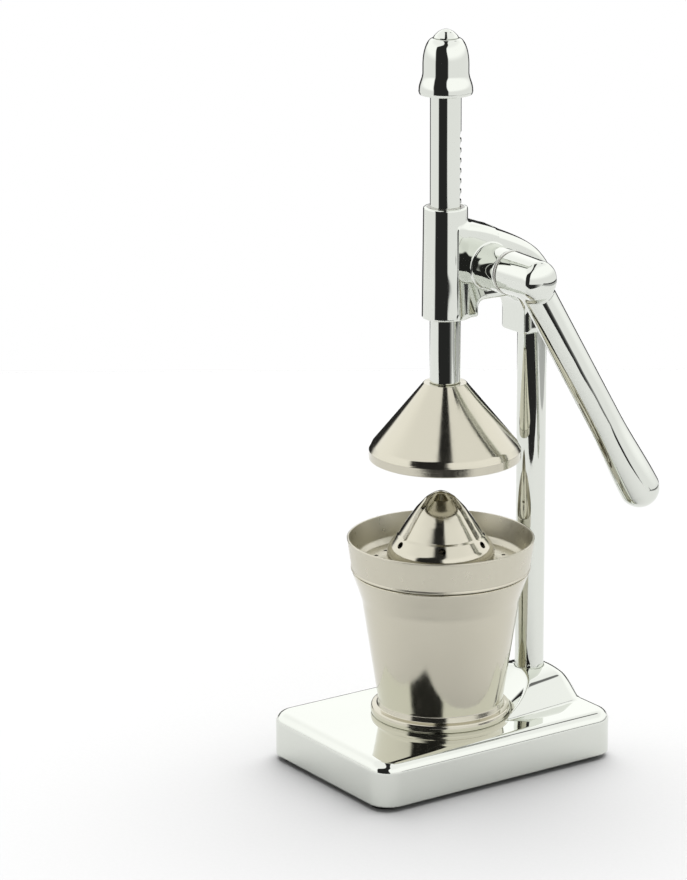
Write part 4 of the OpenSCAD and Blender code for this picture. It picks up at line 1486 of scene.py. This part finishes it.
@dataclass
class Sheet:
    """A turned piece of thin sheet that round holes are cut through.

    Its mesh is a grid: column i stands at angle i, in degrees, and row j is a row of the profile.
    """

    profile: Profile
    skin: Surface = field(init=False)
    reach: Grid = field(init=False)
    first: int = field(init=False)
    rows: int = field(init=False)

    def __post_init__(self) -> None:
        """Makes the uncut mesh and the length along the profile."""
        at = self.profile.at
        self.skin = turned(self.profile, 360)
        self.skin.flat = np.zeros(len(self.skin.quads), bool)
        gaps = np.linalg.norm(np.diff(at, axis=0), axis=1)
        self.reach = np.concatenate([[0.0], np.cumsum(gaps)])
        closed = bool(np.allclose(at[0], at[-1]))
        self.first = 0 if closed else 1
        self.rows = len(at) - (1 if closed else 2)

    def spot(self, angle: Grid, along: Grid) -> tuple[Grid, Grid]:
        """Points and normals at angles in radians and lengths along the profile.

        Args:
            angle: Angles in radians.
            along: Lengths along the profile.

        Returns:
            The points and their normals.
        """
        points, normals = (
            np.stack([r * np.cos(angle), r * np.sin(angle), h], -1)
            for r, h in ([np.interp(along, self.reach, v[:, k]) for k in (0, 1)]
                         for v in (self.profile.at, self.profile.out)))
        return points, unit(normals)

    def row(self, at: Grid, out: Grid) -> int:
        """The profile row nearest to a place, among those that face the given way."""
        gap = np.linalg.norm(self.profile.at - at, axis=1)
        return int(np.argmin(np.where(self.profile.out @ out > 0.5, gap, np.inf)))

    def cut(self, at: Span, out: Span, thick: float, r: float, count: int, start: float,
            half: tuple[int, int]) -> None:
        """Cuts a ring of round holes.

        On both sides of the sheet a window of cells around each hole is taken out. Rings of new
        points lead from the window's border to a circle of radius r in the sheet, each a share
        of the way, and a flat wall joins the two circles.

        Args:
            at: Radius and height of the hole's centre on the sheet's outer side.
            out: Outward direction there.
            thick: Thickness of the sheet.
            r: Radius of the holes.
            count: Number of holes.
            start: Angle of the first one, in degrees.
            half: Half the window in columns and in rows.
        """
        out = np.array(out)
        rows = self.row(np.array(at), out), self.row(at - thick * out, -out)
        u, v = border(*half)
        k = np.arange(len(u))
        k2 = (k + 1) % len(u)
        keep = np.ones(len(self.skin.quads), bool)
        cells = self.rows if self.first == 0 else self.rows - 1
        wide, high = (np.arange(-n, n) for n in half)
        points, normals, quads, flat = [self.skin.points], [self.skin.normals], [], []
        total = len(self.skin.points)
        for n in range(count):
            column = round(start + n * 360 / count)
            walls = []
            for row, way in zip(rows, (1, -1)):
                radius = self.profile.at[row, 0]
                across = u * DEGREE * radius
                edge_at = self.reach[row + way * v] - self.reach[row]
                if way == 1:
                    turn = np.stack([across, edge_at]) / np.hypot(across, edge_at)
                goal = turn[0] * r, way * turn[1] * r
                window = (column + wide[:, None]) % 360 * cells + high + row - self.first
                keep[window] = False
                rings = [(column + u) % 360 * self.rows + row + way * v - self.first]
                for share in (0.4, 0.75, 1.0):
                    angle = column * DEGREE + (across * (1 - share) + goal[0] * share) / radius
                    along = self.reach[row] + edge_at * (1 - share) + goal[1] * share
                    for kept, new in zip((points, normals), self.spot(angle, along)):
                        kept.append(new)
                    rings.append(total + k)
                    total += len(k)
                    a, b = rings[-2:]
                    quads.append(np.stack([a[k], a[k2], b[k2], b[k]], -1)[:, ::way])
                    flat.append(np.zeros(len(k), bool))
                walls.append(rings[-1])
            top, low = walls
            quads.append(np.stack([top[k], top[k2], low[k2], low[k]], -1))
            flat.append(np.ones(len(k), bool))
        skin = self.skin
        skin.points, skin.normals = np.vstack(points), np.vstack(normals)
        skin.quads = np.vstack([skin.quads[keep], *quads])
        skin.flat = np.concatenate([skin.flat[keep], *flat])

    def placed(self, turn: float, y: float) -> Surface:
        """The surface turned by an angle in degrees and moved along Y.

        Args:
            turn: The angle in degrees.
            y: The move along Y.

        Returns:
            The surface.
        """
        t = math.radians(turn)
        spin = np.array([[math.cos(t), math.sin(t), 0], [-math.sin(t), math.cos(t), 0],
                         [0, 0, 1]])
        self.skin.points = self.skin.points @ spin + np.array([0, y, 0])
        self.skin.normals = self.skin.normals @ spin
        return self.skin


@dataclass
class Strainer:
    """Strainer bowl with its drain holes, and the reamer with its ribs and juice holes."""

    y: float = -3.0
    lip: float = 124.5
    top: float = 145.3
    turn: float = -34.0
    ribs: int = 3
    holes: int = 6
    drains: int = 24
    hole_r: float = 2.3
    drain_r: float = 1.3
    drain_at: float = 43.3
    thick: float = 1.2
    foot: float = 35.9
    seam: float = 0.03
    floor: float = 126.7
    rib_turn: float = 60.0
    rib_rise: float = 2.0
    rib_width: float = 1.3
    hole_at: Span = (29.4, 17.25)
    hole_way: Span = (0.81, 0.587)

    def bowl(self) -> Sheet:
        """The bowl: bead on the cup's lip, sloping wall, rim, floor and seat ring.

        Returns:
            The sheet with its drain holes.
        """
        f, t, foot = self.floor, self.top, self.foot + self.seam
        profile = rounded([
            (foot, f), (50.3, f, 0.4), (50.3, self.lip - 4.5, 0.3),
            (51.5, self.lip - 4.5, 0.3), (51.6, self.lip, 0.4), (54.0, self.lip, 0.3),
            (56.2, self.lip + 1.0, 0.9), (55.6, self.lip + 2.3, 0.5), (58.0, t - 1.6, 6.0),
            (58.4, t - 0.5, 0.6), (57.8, t, 0.4), (57.0, t, 0.4), (54.1, f + 4.0, 4.0),
            (51.6, f + 1.2, 2.0), (foot, f + 1.2),
        ], closed=True, bend=8)
        sheet = Sheet(profile.dense(0.9))
        sheet.cut((self.drain_at, f + 1.2), (0.0, 1.0), self.thick, self.drain_r, self.drains,
                  180 / self.drains, (3, 3))
        return sheet

    def reamer(self) -> Sheet:
        """The reamer: hollow cone over a rounded skirt, with ribs raised along the cone.

        A rib adds rise x exp(-(d / width) ^ 4) along the normal, with d the distance from the
        rib's middle line along the circle, fading in and out along the profile.

        Returns:
            The sheet with its ribs and holes.
        """
        f = self.floor
        profile = rounded([
            (0, f + 46.6), (3.0, f + 45.6, 2.0), (7.6, f + 42.4, 4.0), (14.2, f + 36.2, 30.0),
            (19.2, f + 28.8, 30.0), (25.3, f + 19.9, 2.0), (26.4, f + 18.6, 1.0),
            (32.0, f + 12.0, 12.0), (32.7, f + 1.5, 1.5), (32.7, f, 0.3), (self.foot, f, 0.1),
            (self.foot, f + 1.2, 0.1), (33.9, f + 2.8, 1.6), (33.2, f + 12.0, 12.0),
            (27.4, f + 20.0, 0.8), (26.2, f + 21.2, 2.0), (20.5, f + 29.8, 30.0),
            (15.4, f + 37.2, 30.0), (9.0, f + 44.0, 5.0), (4.0, f + 47.2, 3.0), (0, f + 48.0),
        ], bend=7)
        sheet = Sheet(profile.dense(0.85))
        p, n = sheet.skin.points, sheet.skin.normals
        r = np.hypot(p[:, 0], p[:, 1])
        angle = np.arctan2(p[:, 1], p[:, 0])
        for k in range(self.ribs):
            mid = math.radians(self.rib_turn + k * 360 / self.ribs)
            d = ((angle - mid + np.pi) % (2 * np.pi) - np.pi) * np.maximum(r, 3.0)
            fade = np.clip((p[:, 2] - f - 19.5) / 2.0, 0, 1)
            fade *= np.clip((f + 47.5 - p[:, 2]) / 4.0, 0, 1)
            lift = self.rib_rise * np.exp(-((d / self.rib_width) ** 4)) * fade * (n[:, 2] > 0)
            p += n * lift[:, None]
        sheet.cut((self.hole_at[0], f + self.hole_at[1]), self.hole_way, self.thick, self.hole_r,
                  self.holes, 0.0, (6, 3))
        return sheet

    def build(self, store: Store) -> None:
        """Makes the bowl and the reamer.

        Args:
            store: Where the finishes come from.
        """
        made("strainer_bowl", self.bowl().placed(self.turn, self.y), "strainer", "stainless",
             store(Finish.SATIN), "strainer")
        made("ribbed_reamer", self.reamer().placed(self.turn, self.y), "strainer", "stainless",
             store(Finish.SHEET), "reamer")


# ---------------------------------------------------------------- small parts


CARRIED = {
    Finish.CAST: ("pinion_cover",),
    Finish.STEEL: ("foot_screws", "column_bolt", "column_washer", "head_set_screws",
                   "cover_screws", "pinion_shaft", "pinion_pin", "hub_washer",
                   "lever_set_screw", "cone_washer", "cone_screw", "upper_guide_bush",
                   "lower_guide_bush"),
    Finish.GEAR: ("pinion",),
    Finish.BRONZE: ("shaft_bush_right", "shaft_bush_left"),
}


def main() -> None:
    """Builds the studio, every piece and the finishes of the carried-over nodes."""
    logging.basicConfig(level=logging.INFO, format="%(message)s")
    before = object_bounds()
    Studio().build()
    store = Store()
    for group in (BaseCasting(), Column(), HeadCasting(), Lever(), Ram(), Cup(), Strainer()):
        group.build(store)
    for finish, names in CARRIED.items():
        for name in names:
            dress(name, store(finish))
    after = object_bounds()
    sizes = {key: [list(v) for v in box] for key, box in (("cad", before), ("visual", after))}


if __name__ == "__main__":
    main()
